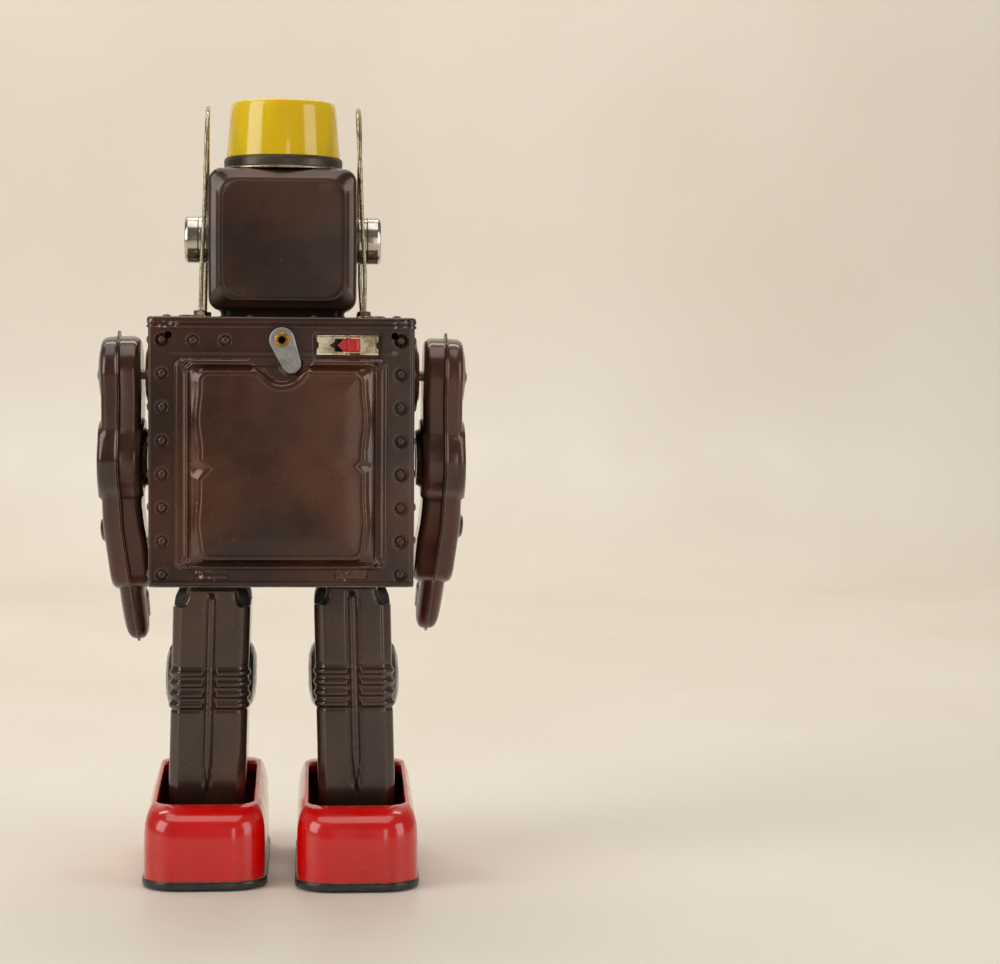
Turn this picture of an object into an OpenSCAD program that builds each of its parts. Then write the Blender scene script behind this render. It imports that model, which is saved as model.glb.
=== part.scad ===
// Battery-operated tin walking robot: a riveted body box with a latched battery door
// in its back, swinging arms and legs, shoes on rollers, and the gear train inside.
// Millimetres. Origin on the floor, midway between the shoes. +Z is up, the robot
// faces -Y, and its left side is +X.

/* [Body] */
// Width of the body box
body_w = 100.4; // [100:0.2:101]
// Depth of the body box
body_d = 66; // [66:0.5:68]
// Thickness of the tinplate
tin = 0.6; // [0.5:0.05:0.7]

/* [Head] */
// Width of the head
head_w = 57; // [54:0.5:57]
// Depth of the head
head_d = 50; // [46:1:52]
// Height of the lamp dome
dome_h = 22; // [18:1:26]

/* [Legs] */
// Width of each leg
leg_w = 30; // [28:0.5:30]
// Depth of each leg
leg_d = 38; // [32:1:38]
// Length of each shoe
shoe_l = 98; // [94:1:102]

/* [Walking] */
// How far the left leg stands ahead at rest, in degrees of swing
stride = 1.3; // [0:0.1:2]

/* [Hidden] */
gap = 0.3;
back_y = 35;
front_y = back_y - body_d;
body_yc = (back_y + front_y) / 2;
body_z0 = 114;
lid_top = 216.4;
lid_skirt = 4.5;
shell_top = lid_top - tin;
panel_y0 = back_y - tin;

hip_y = back_y - 42;
ankle_z = 18;
leg_len = 103.5;
hip_z = ankle_z + leg_len * cos(stride);
leg_x = 28;
leg_yc = hip_y + 3;
leg_z0 = 10;
leg_z1 = 105.5;
knee_r = 12.8;
knee_z = 75.6;
neck_w = 19.6;
shaft_r = 2;
run_gap = 0.05;

shoulder_z = 194;
lever_r = (shoulder_z - hip_z) * 2 / 3;
arm_lever_r = (shoulder_z - hip_z) / 3;
arm_ratio = 2;
arm_seam = 62.7;
arm_lean = 2.4;
arm_bend = 25;

shoe_x = 29;
shoe_w = 46;
shoe_rim = 31;
shoe_instep = 37.5;
sole_z0 = 1;
sole_z1 = 3;
roller_r = 4.5;
roller_y = 31;

door_w = 80.4;
door_z0 = 120.6;
door_z1 = 200.6;
hole_w = 74.6;
hole_z0 = 126.2;
hole_z1 = 196.6;
door_y0 = back_y + gap;
door_t = 0.5;
field_w = 62;
field_z0 = 124.8;
field_z1 = 195.7;
field_up = 2.6;
hinge_y = back_y + 0.4;
hinge_z = 117.7;
hinge_x = 26.2;
hinge_l = 11.5;

latch_z = 207.7;
latch_y0 = back_y + 1.5;
latch_t = 0.8;
latch_cc = 9.5;
latch_angle = 21.5;
switch_x = -24.7;
switch_z = 205.85;
switch_travel = 4.7;

bay_front = back_y - 33.5;
plate_x = 12;
gear_m = 0.5;
crank_y = hip_y;
crank_z = 153.5;
crank_r = 0.75;
idler_a_y = crank_y - 8.4;
idler_a_z = crank_z + 6.3;
idler_b_y = idler_a_y - 1.8;
idler_b_z = idler_a_z + sqrt(12 * 12 - 1.8 * 1.8);
motor_y = idler_b_y;
motor_z = idler_b_z + 12;
wheel_teeth = 36;
drive_teeth = 30;
pinion_teeth = 12;

head_z0 = lid_top;
head_z1 = 273.2;
head_chin = 218.8;
head_y = body_yc;
dome_z0 = 278.3;
ear_z = 246.7;
wire_r = 0.8;
wire_span = 38;
wire_foot = 31.2;
wire_lean = 1.5;
wire_top = 298.2;

// ---- outline helpers ----

function corner(cx, cy, r, a0, n) =
    [for (i = [0:n]) [cx + r * cos(a0 + 90 * i / n), cy + r * sin(a0 + 90 * i / n)]];
function rrect(w, h, r, n = 4) = concat(
    corner(w / 2 - r, h / 2 - r, r, 0, n),
    corner(r - w / 2, h / 2 - r, r, 90, n),
    corner(r - w / 2, r - h / 2, r, 180, n),
    corner(w / 2 - r, r - h / 2, r, 270, n));

module slab_z(w, d, r, z0, z1)
    translate([0, 0, z0])
        linear_extrude(z1 - z0)
            polygon(rrect(w, d, r));

module slab_y(w, h, r, y0, y1)
    translate([0, y1, 0])
        rotate([90, 0, 0])
            linear_extrude(y1 - y0)
                polygon(rrect(w, h, r));

module slab_x(d, h, r, x0, x1)
    translate([x0, 0, 0])
        rotate([90, 0, 90])
            linear_extrude(x1 - x0)
                polygon(rrect(d, h, r));

module rod_x(r, x0, x1)
    translate([x0, 0, 0])
        rotate([0, 90, 0])
            cylinder(h = x1 - x0, r = r, $fn = 48);

module rod_y(r, y0, y1)
    translate([0, y1, 0])
        rotate([90, 0, 0])
            cylinder(h = y1 - y0, r = r, $fn = 48);

module box(x0, x1, y0, y1, z0, z1)
    translate([x0, y0, z0])
        cube([x1 - x0, y1 - y0, z1 - z0]);

// ---- body ----

module body_shell() {
    color("#4a3428")
        difference() {
            translate([0, body_yc, 0])
                slab_z(body_w, body_d, 3, body_z0 + tin, shell_top);
            translate([0, body_yc, 0])
                slab_z(body_w - 2 * tin, body_d - 2 * tin, 2.4, body_z0 - 1, lid_top);
            box(-body_w, body_w, panel_y0, back_y + 1, body_z0 - 1, lid_top);
            translate([0, hip_y, shoulder_z])
                rod_x(shaft_r + run_gap, -body_w, body_w);
            for (i = [-2:2])
                translate([0, 0, 170 + 7 * i])
                    slab_y(44, 2.4, 1.1, front_y - 1, front_y + 2);
        }
}

module rivet_head()
    translate([0, back_y + 0.7, 0])
        rotate([90, 0, 0])
            cylinder(h = 0.8, r1 = 1.1, r2 = 1.9, $fn = 32);

module back_panel() {
    color("#4a3428")
        difference() {
            union() {
                box(-body_w / 2, body_w / 2, panel_y0, back_y, body_z0 + tin, shell_top);
                for (s = [-1, 1])
                    translate([s * (body_w / 2 - 3.4), 0, 0])
                        box(-tin / 2, tin / 2, panel_y0 - 6, panel_y0 + 0.1, body_z0 + 2, 210);
                for (s = [-1, 1])
                    for (i = [0:7])
                        translate([s * 45, 0, 118.8 + 12.68 * i])
                            rivet_head();
                for (x = [21.2, 33.3])
                    translate([x, 0, 207.3])
                        rivet_head();
            }
            translate([0, 0, (hole_z0 + hole_z1) / 2])
                slab_y(hole_w, hole_z1 - hole_z0, 2, panel_y0 - 1, back_y + 1);
            for (s = [-1, 1])
                translate([s * (body_w / 2 + 3), 0, 0])
                    box(-5, 5, panel_y0 - 1, back_y + 1, lid_top - lid_skirt - 0.1, lid_top);
            for (s = [-1, 1])
                translate([s * 42.6, 0, 209.4])
                    rod_y(1.35, panel_y0 - 1, back_y + 2);
            for (s = [-1, 1])
                translate([s * hinge_x, 0, hinge_z])
                    slab_y(hinge_l + 1.2, 2.8, 0.5, panel_y0 - 1, back_y + 1);
            translate([0, 0, latch_z])
                rod_y(1.75, panel_y0 - 1, back_y + 1);
            translate([switch_x, 0, switch_z])
                slab_y(18, 5.6, 0.6, panel_y0 - 1, back_y + 1);
        }
}

module top_lid() {
    color("#4a3428")
        difference() {
            translate([0, body_yc, 0])
                slab_z(body_w + 1.4, body_d + 1.4, 3, lid_top - lid_skirt, lid_top);
            translate([0, body_yc, 0])
                slab_z(body_w + 0.2, body_d + 0.2, 2.6, body_z0, shell_top);
            translate([0, head_y, 0])
                slab_z(30, 20, 3, shell_top - 1, lid_top + 1);
            for (s = [-1, 1])
                for (e = [-1, 1])
                    translate([s * wire_foot, head_y + e * wire_span / 2, shell_top - 1])
                        cylinder(h = 3, r = wire_r + run_gap, $fn = 24);
        }
}

module base_plate() {
    color("#3b3a38")
        difference() {
            translate([0, body_yc, 0])
                slab_z(body_w, body_d, 3, body_z0, body_z0 + tin);
            for (s = [-1, 1])
                translate([s * leg_x, hip_y, 0])
                    slab_z(neck_w + 2.4, 22, 1, body_z0 - 1, body_z0 + 2);
        }
}

module chest_plate() {
    zc = 170;
    color("#b9b4a6")
        difference() {
            union() {
                translate([0, 0, zc])
                    slab_y(62, 52, 5, front_y - 1, front_y);
                translate([0, 0, zc])
                    slab_y(54, 44, 4, front_y - 2.4, front_y);
            }
            for (i = [-2:2])
                translate([0, 0, zc + 7 * i])
                    slab_y(42, 3, 1.4, front_y - 4, front_y + 1);
        }
}

module side_disc() {
    color("#8a4a24")
        translate([body_w / 2, hip_y, shoulder_z])
            rotate([0, 90, 0])
                difference() {
                    union() {
                        cylinder(h = 1, r = 16.5, $fn = 64);
                        translate([0, 0, 0.9])
                            cylinder(h = 2.5, r1 = 15, r2 = 9, $fn = 64);
                    }
                    translate([0, 0, -1])
                        cylinder(h = 8, r = shaft_r + 0.4, $fn = 32);
                }
}

// ---- battery bay, door, latch and switch ----

module battery_box() {
    bz0 = hole_z0 - 2;
    bz1 = hole_z1 + 2;
    depth = panel_y0 - bay_front;
    color("#e8e2d2")
        difference() {
            translate([0, panel_y0, 0])
                slab_z(77, 2 * depth, 15, bz0, bz1);
            translate([0, panel_y0, 0])
                slab_z(76, 2 * depth - 1, 14.5, bz0 + 0.5, bz1 - 0.5);
            box(-60, 60, panel_y0, panel_y0 + depth + 5, bz0 - 1, bz1 + 1);
            for (s = [-1, 1])
                translate([s * 17.5, 0, 143])
                    slab_y(8.4, 5.4, 2.6, bay_front - 1, bay_front + 1);
        }
}

module battery_tabs() {
    top = hole_z1 + 1.5;
    color("#8a6a35")
        for (s = [-1, 1])
            translate([s * 17.5, 0, 0]) {
                box(-4.5, 4.5, back_y - 24, back_y - 10, top - 0.5, top);
                box(-4.5, 4.5, back_y - 10.5, back_y - 10, top - 6, top - 0.4);
            }
}

module battery_end_contacts() {
    low = hole_z0 - 1.5;
    color("#c8c5bd")
        for (s = [-1, 1])
            translate([s * 17.5, back_y - 17, low]) {
                cylinder(h = 0.6, r = 11, $fn = 48);
                translate([0, 0, 0.5])
                    cylinder(h = 1.4, r1 = 8, r2 = 5, $fn = 48);
            }
}

module door_field(grow, y0, y1) {
    zc = (field_z0 + field_z1) / 2;
    h = field_z1 - field_z0;
    translate([0, 0, zc])
        hull() {
            slab_y(field_w + 6 + grow, h + 3 + grow, 3.4, y0, y0 + 0.2);
            slab_y(field_w + grow, h + grow - 3, 3, y1 - 0.2, y1);
        }
}

module battery_door() {
    zc = (door_z0 + door_z1) / 2;
    face = door_y0 + door_t;
    tip = [-latch_cc * sin(latch_angle), 0, latch_z - latch_cc * cos(latch_angle)];
    color("#4a3428")
        difference() {
            union() {
                difference() {
                    union() {
                        translate([0, 0, zc])
                            slab_y(door_w, door_z1 - door_z0, 2.7, door_y0, face);
                        door_field(0, face - 0.3, face + field_up);
                    }
                    door_field(-1.2, door_y0 - 0.5, face + field_up - 0.6);
                    translate([0, 0, field_z1 + 3])
                        rod_y(9.2, face, face + 5);
                }
                difference() {
                    translate([0, 0, field_z1 + 3])
                        rod_y(9.8, door_y0, face);
                    box(-20, 20, door_y0 - 1, face + 1, door_z1, door_z1 + 20);
                }
                for (s = [-1, 1])
                    translate([s * hinge_x, 0, 0]) {
                        box(-hinge_l / 2, hinge_l / 2, door_y0, face, hinge_z, door_z0 + 1);
                        translate([0, hinge_y, hinge_z])
                            rod_x(0.8, -hinge_l / 2, hinge_l / 2);
                    }
            }
            translate(tip)
                rod_y(4.1, door_y0 - 1, face + 1);
            translate([tip[0], 0, tip[2] + 5])
                slab_y(8.2, 10, 0.4, door_y0 - 1, face + 1);
        }
}

module door_latch() {
    color("#9a9c9a")
        translate([0, 0, latch_z])
            rotate([0, latch_angle, 0])
                difference() {
                    union() {
                        rod_y(4.85, latch_y0, latch_y0 + latch_t);
                        translate([0, 0, -latch_cc])
                            rod_y(3.7, latch_y0, latch_y0 + latch_t);
                        translate([0, latch_y0 + latch_t, 0])
                            rotate([90, 0, 0])
                                linear_extrude(latch_t)
                                    polygon([[-4.8, -0.6], [4.8, -0.6],
                                        [3.6, 0.4 - latch_cc], [-3.6, 0.4 - latch_cc]]);
                    }
                    rod_y(1.8, latch_y0 - 1, latch_y0 + 3);
                }
}

module latch_eyelet() {
    color("#a5803f")
        translate([0, 0, latch_z])
            difference() {
                union() {
                    rod_y(1.7, panel_y0 - 1, latch_y0 + latch_t + 0.8);
                    rod_y(2.9, panel_y0 - 1, panel_y0 - 0.1);
                    rod_y(2.9, back_y, latch_y0 - 0.1);
                    rod_y(2.9, latch_y0 + latch_t + 0.1, latch_y0 + latch_t + 0.8);
                }
                rod_y(1.25, panel_y0 - 2, latch_y0 + 4);
            }
}

module switch_bezel() {
    color("#c9c2ae")
        translate([switch_x, 0, switch_z])
            difference() {
                union() {
                    slab_y(23.2, 7.5, 0.5, back_y, back_y + 0.5);
                    for (s = [-1, 1])
                        translate([0, 0, s * 3.45])
                            slab_y(23.2, 0.6, 0.2, back_y, back_y + 1.1);
                }
                slab_y(9.7, 4.9, 0.4, back_y - 1, back_y + 2);
                for (s = [-1, 1])
                    translate([s * 12.6, 0, 0])
                        rod_y(1.9, back_y - 1, back_y + 2);
            }
}

module switch_knob() {
    color("#c81a12")
        translate([switch_x, 0, switch_z]) {
            box(-4.7, 0, panel_y0 - 1, back_y + 2.2, -2.2, 2.2);
            box(-5.6, 5.2, panel_y0 - 1.6, panel_y0 - 0.6, -2.4, 2.4);
        }
}

module switch_case() {
    color("#3a3c3e")
        translate([switch_x, 0, switch_z])
            difference() {
                slab_y(22, 7, 0.5, panel_y0 - 6.5, panel_y0);
                slab_y(20.6, 5.6, 0.3, panel_y0 - 5.8, panel_y0 + 1);
            }
}

// ---- head ----

module head_solid(inset) {
    zc = (head_chin + head_z1) / 2;
    h = head_z1 - head_chin - 2 * inset;
    w = head_w - 2 * inset;
    d = head_d / 2 - inset;
    translate([0, head_y, zc])
        hull() {
            slab_y(w, h, 5, 0, d - 3.5);
            slab_y(w - 7, h - 7, 4, 0, d);
        }
}

module head_half() {
    difference() {
        union() {
            head_solid(0);
            translate([0, head_y, 0])
                box(-24, 24, 0, 20, head_z0, head_chin + 3);
        }
        head_solid(tin);
        translate([0, head_y, 0])
            box(-24 + tin, 24 - tin, -1, 20 - tin, head_z0 - 1, head_chin + 4);
        translate([0, head_y, head_z1 - 3])
            cylinder(h = 6, r = 6, $fn = 48);
        translate([0, head_y, ear_z])
            rod_x(4.2, -head_w, head_w);
    }
}

module head_back()
    color("#4a3428")
        head_half();

module head_front() {
    color("#4a3428")
        difference() {
            translate([0, 2 * head_y, 0])
                mirror([0, 1, 0])
                    head_half();
            for (s = [-1, 1])
                translate([s * 13, 0, 253])
                    rod_y(6.2, head_y - head_d, head_y - 10);
            translate([0, 0, 232])
                slab_y(24, 7, 1.5, head_y - head_d, head_y - 10);
        }
}

module eye_lenses() {
    face = head_y - head_d / 2;
    color("#d9662a")
        for (s = [-1, 1])
            translate([s * 13, face, 253])
                rotate([90, 0, 0])
                    difference() {
                        union() {
                            cylinder(h = 1.4, r = 8, $fn = 64);
                            translate([0, 0, -3])
                                cylinder(h = 4, r = 6, $fn = 64);
                            translate([0, 0, 1.3])
                                cylinder(h = 2, r1 = 6.4, r2 = 3.6, $fn = 64);
                        }
                        translate([0, 0, -4])
                            cylinder(h = 4.6, r = 5, $fn = 48);
                    }
}

module mouth_grille() {
    face = head_y - head_d / 2;
    color("#c9c2ae")
        translate([0, 0, 232])
            difference() {
                union() {
                    slab_y(28, 10.5, 2.5, face - 1.2, face);
                    slab_y(23.6, 6.6, 1.4, face - 1, face + 2);
                }
                for (i = [-3:3])
                    translate([3.1 * i, 0, 0])
                        slab_y(1.8, 6, 0.4, face - 3, face + 3);
            }
}

module ear() {
    x0 = head_w / 2;
    color("#c9c6c0")
        translate([x0, head_y, ear_z])
            rotate([0, 90, 0])
                difference() {
                    union() {
                        cylinder(h = 8.3, r = 9.2, $fn = 64);
                        cylinder(h = 9.4, r = 8.4, $fn = 64);
                        translate([0, 0, -2.5])
                            cylinder(h = 3, r = 4, $fn = 32);
                    }
                    difference() {
                        translate([0, 0, 5])
                            cylinder(h = 6, r = 7.2, $fn = 48);
                        translate([0, 0, 4])
                            cylinder(h = 4, r = 2.4, $fn = 32);
                    }
                }
}

module dome() {
    r0 = 22;
    r1 = 20.4;
    color("#e8cc18")
        translate([0, head_y, dome_z0])
            rotate_extrude($fn = 96)
                polygon([[r0, 0], [r1, dome_h - 1.6], [r1 - 0.6, dome_h - 0.5],
                    [r1 - 1.8, dome_h], [0, dome_h], [0, dome_h - 1.2],
                    [r1 - 1.8, dome_h - 1.2], [r0 - 1.3, 0]]);
}

module dome_collar() {
    color("#4b4540")
        translate([0, head_y, head_z1])
            rotate_extrude($fn = 96)
                polygon([[6.2, 0], [23.6, 0], [23.6, 3.9], [22.6, dome_z0 - head_z1],
                    [6.2, dome_z0 - head_z1]]);
}

module lamp() {
    color("#e9e6dc")
        translate([0, head_y, 0])
            rotate_extrude($fn = 48)
                polygon([[0, 266], [5, 266], [5, 281], [4.2, 282], [5, 286], [4.2, 290],
                    [2, 292.2], [0, 292.6]]);
}

module antenna() {
    half = wire_span / 2;
    bend = half;
    straight = (wire_top - wire_r - bend - lid_top) / cos(wire_lean);
    color("#b3ac9c")
        translate([wire_foot, head_y, lid_top])
            rotate([0, -wire_lean, 0]) {
                for (e = [-1, 1])
                    translate([0, e * half, -1.6])
                        cylinder(h = straight + 1.6, r = wire_r, $fn = 24);
                translate([0, 0, straight])
                    rotate([90, 0, 90])
                        rotate_extrude(angle = 180, $fn = 72)
                            translate([bend, 0])
                                circle(r = wire_r, $fn = 24);
            }
}

module antenna_nuts()
    color("#a08648")
        for (s = [-1, 1])
            for (e = [-1, 1])
                translate([s * wire_foot, head_y + e * wire_span / 2, lid_top])
                    difference() {
                        union() {
                            cylinder(h = 0.6, r = 3.2, $fn = 32);
                            cylinder(h = 2.6, r = 2.6, $fn = 6);
                        }
                        translate([0, 0, -1])
                            cylinder(h = 5, r = wire_r + 0.12, $fn = 24);
                    }

// ---- arms: local origin on the shoulder pin, x measured from the seam ----

elbow = [0, -1, -33];
elbow_r = 15.6;
wrist = [0, -1 - 46 * sin(arm_bend), -33 - 46 * cos(arm_bend)];
tip = [0, wrist[1] - 29 * sin(arm_bend), wrist[2] - 29 * cos(arm_bend)];

module stamped_disc(p, r, cut, h)
    translate(p) {
        rotate([0, 90, 0])
            cylinder(h = h - cut, r = r, $fn = 32);
        rotate([0, 90, 0])
            cylinder(h = h, r = r - cut, $fn = 32);
    }

module arm_solid(inset, h) {
    hull() {
        stamped_disc([0, 0, 0], 15 - inset, 3, h - inset);
        stamped_disc(elbow, 12 - inset, 3, h - inset - 0.8);
    }
    stamped_disc(elbow, elbow_r - inset, 3, h - inset + 0.4);
    hull() {
        stamped_disc(elbow, 12 - inset, 3, h - inset - 0.8);
        stamped_disc(wrist, 10.6 - inset, 2.5, h - inset - 1.6);
    }
}

module arm_flange() {
    hull() {
        stamped_disc([0, 0, 0], 16.3, 0, 0.5);
        stamped_disc(elbow, 13.2, 0, 0.5);
    }
    stamped_disc(elbow, elbow_r + 1.1, 0, 0.5);
    hull() {
        stamped_disc(elbow, 13.2, 0, 0.5);
        stamped_disc(wrist, 11.7, 0, 0.5);
    }
}

module arm_half_solid(h, boss, pin_hole) {
    difference() {
        union() {
            arm_solid(0, h);
            arm_flange();
            stamped_disc(elbow, 11, 1.6, boss);
            stamped_disc([0, 0, 0], 6, 1, h + 0.8);
        }
        translate([-1, 0, 0])
            arm_solid(tin, h + 1);
        rod_x(pin_hole, -5, 20);
    }
}

module arm_place(swing)
    translate([arm_seam, hip_y, shoulder_z])
        rotate([swing, 0, 0])
            rotate([0, arm_lean, 0])
                children();

module arm_outer(swing)
    color("#4a3428")
        arm_place(swing)
            arm_half_solid(8.2, 10, shaft_r + 0.4);

module arm_inner(swing)
    color("#4a3428")
        arm_place(swing)
            mirror([1, 0, 0])
                arm_half_solid(7.6, 9, shaft_r + 0.4);

module hand(swing) {
    color("#4a3428")
        arm_place(swing)
            difference() {
                union() {
                    hull() {
                        translate(wrist)
                            rod_x(8.4, -5, 5);
                        translate(tip)
                            rod_x(5, -3.2, 3.2);
                    }
                    hull() {
                        translate(wrist + [-4.4, -5, -14])
                            sphere(r = 2.8, $fn = 16);
                        translate(wrist + [-5.4, -9, -23])
                            sphere(r = 1.8, $fn = 16);
                    }
                }
                hull() {
                    translate(elbow)
                        rod_x(14, -12, 12);
                    translate(wrist)
                        rod_x(11.9, -12, 12);
                }
            }
}

module shoulder_pin(swing) {
    color("#b3b3b0")
        translate([0, hip_y, shoulder_z])
            rotate([swing, 0, 0])
                difference() {
                    union() {
                        rod_x(shaft_r, 19.6, arm_seam + 9.8);
                        translate([arm_seam + 9.4, 0, 0])
                            rod_x(3.4, 0, 1);
                        rod_x(5, 19.6, 20.8);
                        translate([0, 0, -arm_lever_r / 2 - 1])
                            slab_x(5.4, arm_lever_r + 6, 1.5, 19.6, 20.8);
                    }
                    translate([0, 0, -arm_lever_r])
                        slab_x(2.7, 5.4, 1.2, 19, 22);
                }
}

// ---- legs ----

module leg_neck(inset, top) {
    w = neck_w / 2 - inset;
    d = 7 - inset;
    translate([leg_x - w, hip_y, 0])
        rotate([90, 0, 90])
            linear_extrude(2 * w)
                polygon([[-d, 108], [-d, hip_z + 3], [-4, top - inset], [4, top - inset],
                    [d, hip_z + 3], [d, 108]]);
}

module leg_top(inset) {
    translate([leg_x, 0, 0])
        hull() {
            translate([0, leg_yc, 0])
                slab_z(leg_w - 2 * inset, leg_d - 2 * inset, 3.5, leg_z1 - 0.5, leg_z1);
            translate([0, hip_y, 0])
                slab_z(neck_w - 2 * inset, 20 - 2 * inset, 2, 110, 110.6 - inset);
        }
}

module leg() {
    color("#4a3428")
        difference() {
            union() {
                translate([leg_x, leg_yc, 0]) {
                    slab_z(leg_w, leg_d, 4, leg_z0, leg_z1);
                    for (i = [0:3])
                        slab_z(leg_w + 1.6, leg_d + 1.6, 4.5, 65 + 4.2 * i, 67.4 + 4.2 * i);
                    box(-1.3, 1.3, leg_d / 2 - 0.2, leg_d / 2 + 0.8, 82, 107.5);
                    box(-1.3, 1.3, leg_d / 2 - 0.2, leg_d / 2 + 0.8, 33, 65);
                }
                leg_top(0);
                leg_neck(0, hip_z + 6);
            }
            translate([leg_x, leg_yc, 0])
                slab_z(leg_w - 2 * tin, leg_d - 2 * tin, 3.4, leg_z0 - 1, leg_z1 - 0.2);
            leg_top(tin);
            leg_neck(tin, hip_z + 6);
            for (s = [-1, 1])
                translate([leg_x + s * (leg_w / 2 + 1), leg_yc, knee_z])
                    rod_x(knee_r + 0.1, -1, 1);
            translate([0, hip_y, hip_z])
                rod_x(shaft_r + run_gap, 0, 60);
            translate([0, hip_y, ankle_z])
                rod_x(1.5 + run_gap, 0, 60);
        }
}

module knee_discs() {
    color("#33251c")
        for (s = [-1, 1])
            translate([leg_x + s * leg_w / 2, leg_yc, knee_z])
                rotate([0, s * 90, 0]) {
                    cylinder(h = 1, r = knee_r, $fn = 64);
                    translate([0, 0, 0.9])
                        cylinder(h = 2, r1 = knee_r - 0.8, r2 = 8, $fn = 64);
                }
}

module hip_lever() {
    color("#a9aaa6")
        translate([leg_x - neck_w / 2 - 1.1, hip_y, hip_z])
            difference() {
                union() {
                    rod_x(5.5, 0, 1.1);
                    rotate([90, 0, 90])
                        linear_extrude(1.1)
                            polygon([[-4.5, 0], [4.5, 0], [2, lever_r], [-2, lever_r]]);
                    translate([0, 0, lever_r])
                        rod_x(2.4, 0, 1.1);
                    translate([0, 0, lever_r])
                        rod_x(1, 0, 4.4);
                }
                rod_x(shaft_r + run_gap, -1, 3);
            }
}

module leg_place(swing)
    translate([0, hip_y, hip_z])
        rotate([swing, 0, 0])
            translate([0, -hip_y, -(ankle_z + leg_len)])
                children();

module hip_shaft()
    color("#b3b3b0")
        translate([0, hip_y, hip_z])
            rod_x(shaft_r, 0.5 - body_w / 2 + tin, body_w / 2 - tin - 0.5);

// ---- shoes ----

module shoe_solid(inset, z0) {
    w = shoe_w - 2 * inset;
    l = shoe_l - 1.5 - 2 * inset;
    hull() {
        slab_z(w, l, 13, z0, 14);
        slab_z(w - 3, l - 5, 12, 21 - inset, 21.5 - inset);
        translate([0, 20, 0])
            slab_z(w - 8, 36, 9, shoe_rim - 0.5 - inset, shoe_rim - inset);
        translate([0, -17, 0])
            slab_z(w - 8, 28, 9, shoe_instep - 0.5 - inset, shoe_instep - inset);
    }
}

module shoe() {
    color("#c5140c")
        difference() {
            shoe_solid(0, sole_z1);
            shoe_solid(0.7, sole_z1 - 1);
            translate([0, 4, 0])
                slab_z(36.4, 62, 7, 20, shoe_instep + 5);
        }
}

module sole() {
    color("#1d1c1c")
        difference() {
            union() {
                slab_z(shoe_w + 1.5, shoe_l, 14, sole_z0, sole_z1);
                for (y = [-roller_y, roller_y])
                    for (s = [-1, 1])
                        translate([s * 15, y, 5])
                            slab_x(6, 5.4, 1, -0.6, 0.6);
            }
            for (y = [-roller_y, roller_y]) {
                for (s = [-1, 1])
                    translate([s * 9, y, 0])
                        slab_z(6, 10.6, 1, 0, sole_z1 + 1);
                translate([0, y, roller_r])
                    rod_x(1.05, -20, 20);
            }
        }
}

module rollers(y) {
    color("#2a2a2a")
        translate([0, y, roller_r]) {
            rod_x(1, -17, 17);
            for (s = [-1, 1])
                translate([s * 9, 0, 0])
                    rod_x(roller_r, -2, 2);
        }
}

module ankle_bracket() {
    off = leg_x - shoe_x;
    color("#a9aaa6")
        translate([off, hip_y, 0])
            difference() {
                union() {
                    box(-17, 17, -9, 9, sole_z1, sole_z1 + 0.8);
                    for (s = [-1, 1])
                        translate([s * 16.5, 0, 0])
                            box(-0.5, 0.5, -5, 5, sole_z1, ankle_z + 4);
                    translate([0, 0, ankle_z])
                        rod_x(1.5, -17, 17);
                }
            }
}

module shoe_place(swing)
    translate([shoe_x, leg_len * sin(swing), 0])
        children();

// ---- gear train ----

function mesh_phase(a, pa, na, nb) = a + 180 + 180 / nb - (pa - a) * na / nb;
drive_phase = 0;
a_dir = atan2(idler_a_z - crank_z, idler_a_y - crank_y);
a_phase = mesh_phase(a_dir, drive_phase, drive_teeth, pinion_teeth);
b_dir = atan2(idler_b_z - idler_a_z, idler_b_y - idler_a_y);
b_phase = mesh_phase(b_dir, a_phase, wheel_teeth, pinion_teeth);
m_dir = atan2(motor_z - idler_b_z, motor_y - idler_b_y);
m_phase = mesh_phase(m_dir, b_phase, wheel_teeth, pinion_teeth);

module toothed(n, phase, x0, x1) {
    r = gear_m * n / 2;
    p = 360 / n;
    root = r - 1.15 * gear_m;
    top = r + 0.85 * gear_m;
    translate([x0, 0, 0])
        rotate([90, 0, 90])
            linear_extrude(x1 - x0)
                polygon([for (i = [0:n - 1])
                    for (c = [[-0.3, root], [-0.1, top], [0.1, top], [0.3, root]])
                        [c[1] * cos(phase + p * (i + c[0])), c[1] * sin(phase + p * (i + c[0]))]]);
}

module crankshaft() {
    color("#b8954a")
        translate([0, crank_y, crank_z]) {
            rod_x(crank_r, -15.4, 15.4);
            toothed(drive_teeth, drive_phase, 3, 4.6);
            for (s = [-1, 1]) {
                translate([s * 14.8, 0, 0])
                    rod_x(6, -0.6, 0.6);
                translate([s * 15.9, 0, s * 3.9])
                    rod_x(1, -0.7, 0.7);
            }
        }
}

module idler_gear_a() {
    color("#b8954a")
        translate([0, idler_a_y, idler_a_z]) {
            rod_x(1, -13, 13);
            toothed(pinion_teeth, a_phase, 2.4, 6.7);
            toothed(wheel_teeth, a_phase, 6.6, 8.2);
        }
}

module idler_gear_b() {
    color("#b8954a")
        translate([0, idler_b_y, idler_b_z]) {
            rod_x(1, -13, 13);
            toothed(pinion_teeth, b_phase, 6, 9.1);
            toothed(wheel_teeth, b_phase, 9, 10.6);
        }
}

module motor_pinion() {
    color("#b3b3b0")
        translate([0, motor_y, motor_z]) {
            rod_x(0.95, -11.3, 13);
            toothed(pinion_teeth, m_phase, 8.4, 11.4);
        }
}

module motor_can() {
    color("#9a9c9a")
        translate([0, motor_y, motor_z])
            difference() {
                rod_x(10.4, -11.9, 5);
                rod_x(9.6, -11.2, 4.2);
                rod_x(1, -11.4, 8);
            }
}

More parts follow.
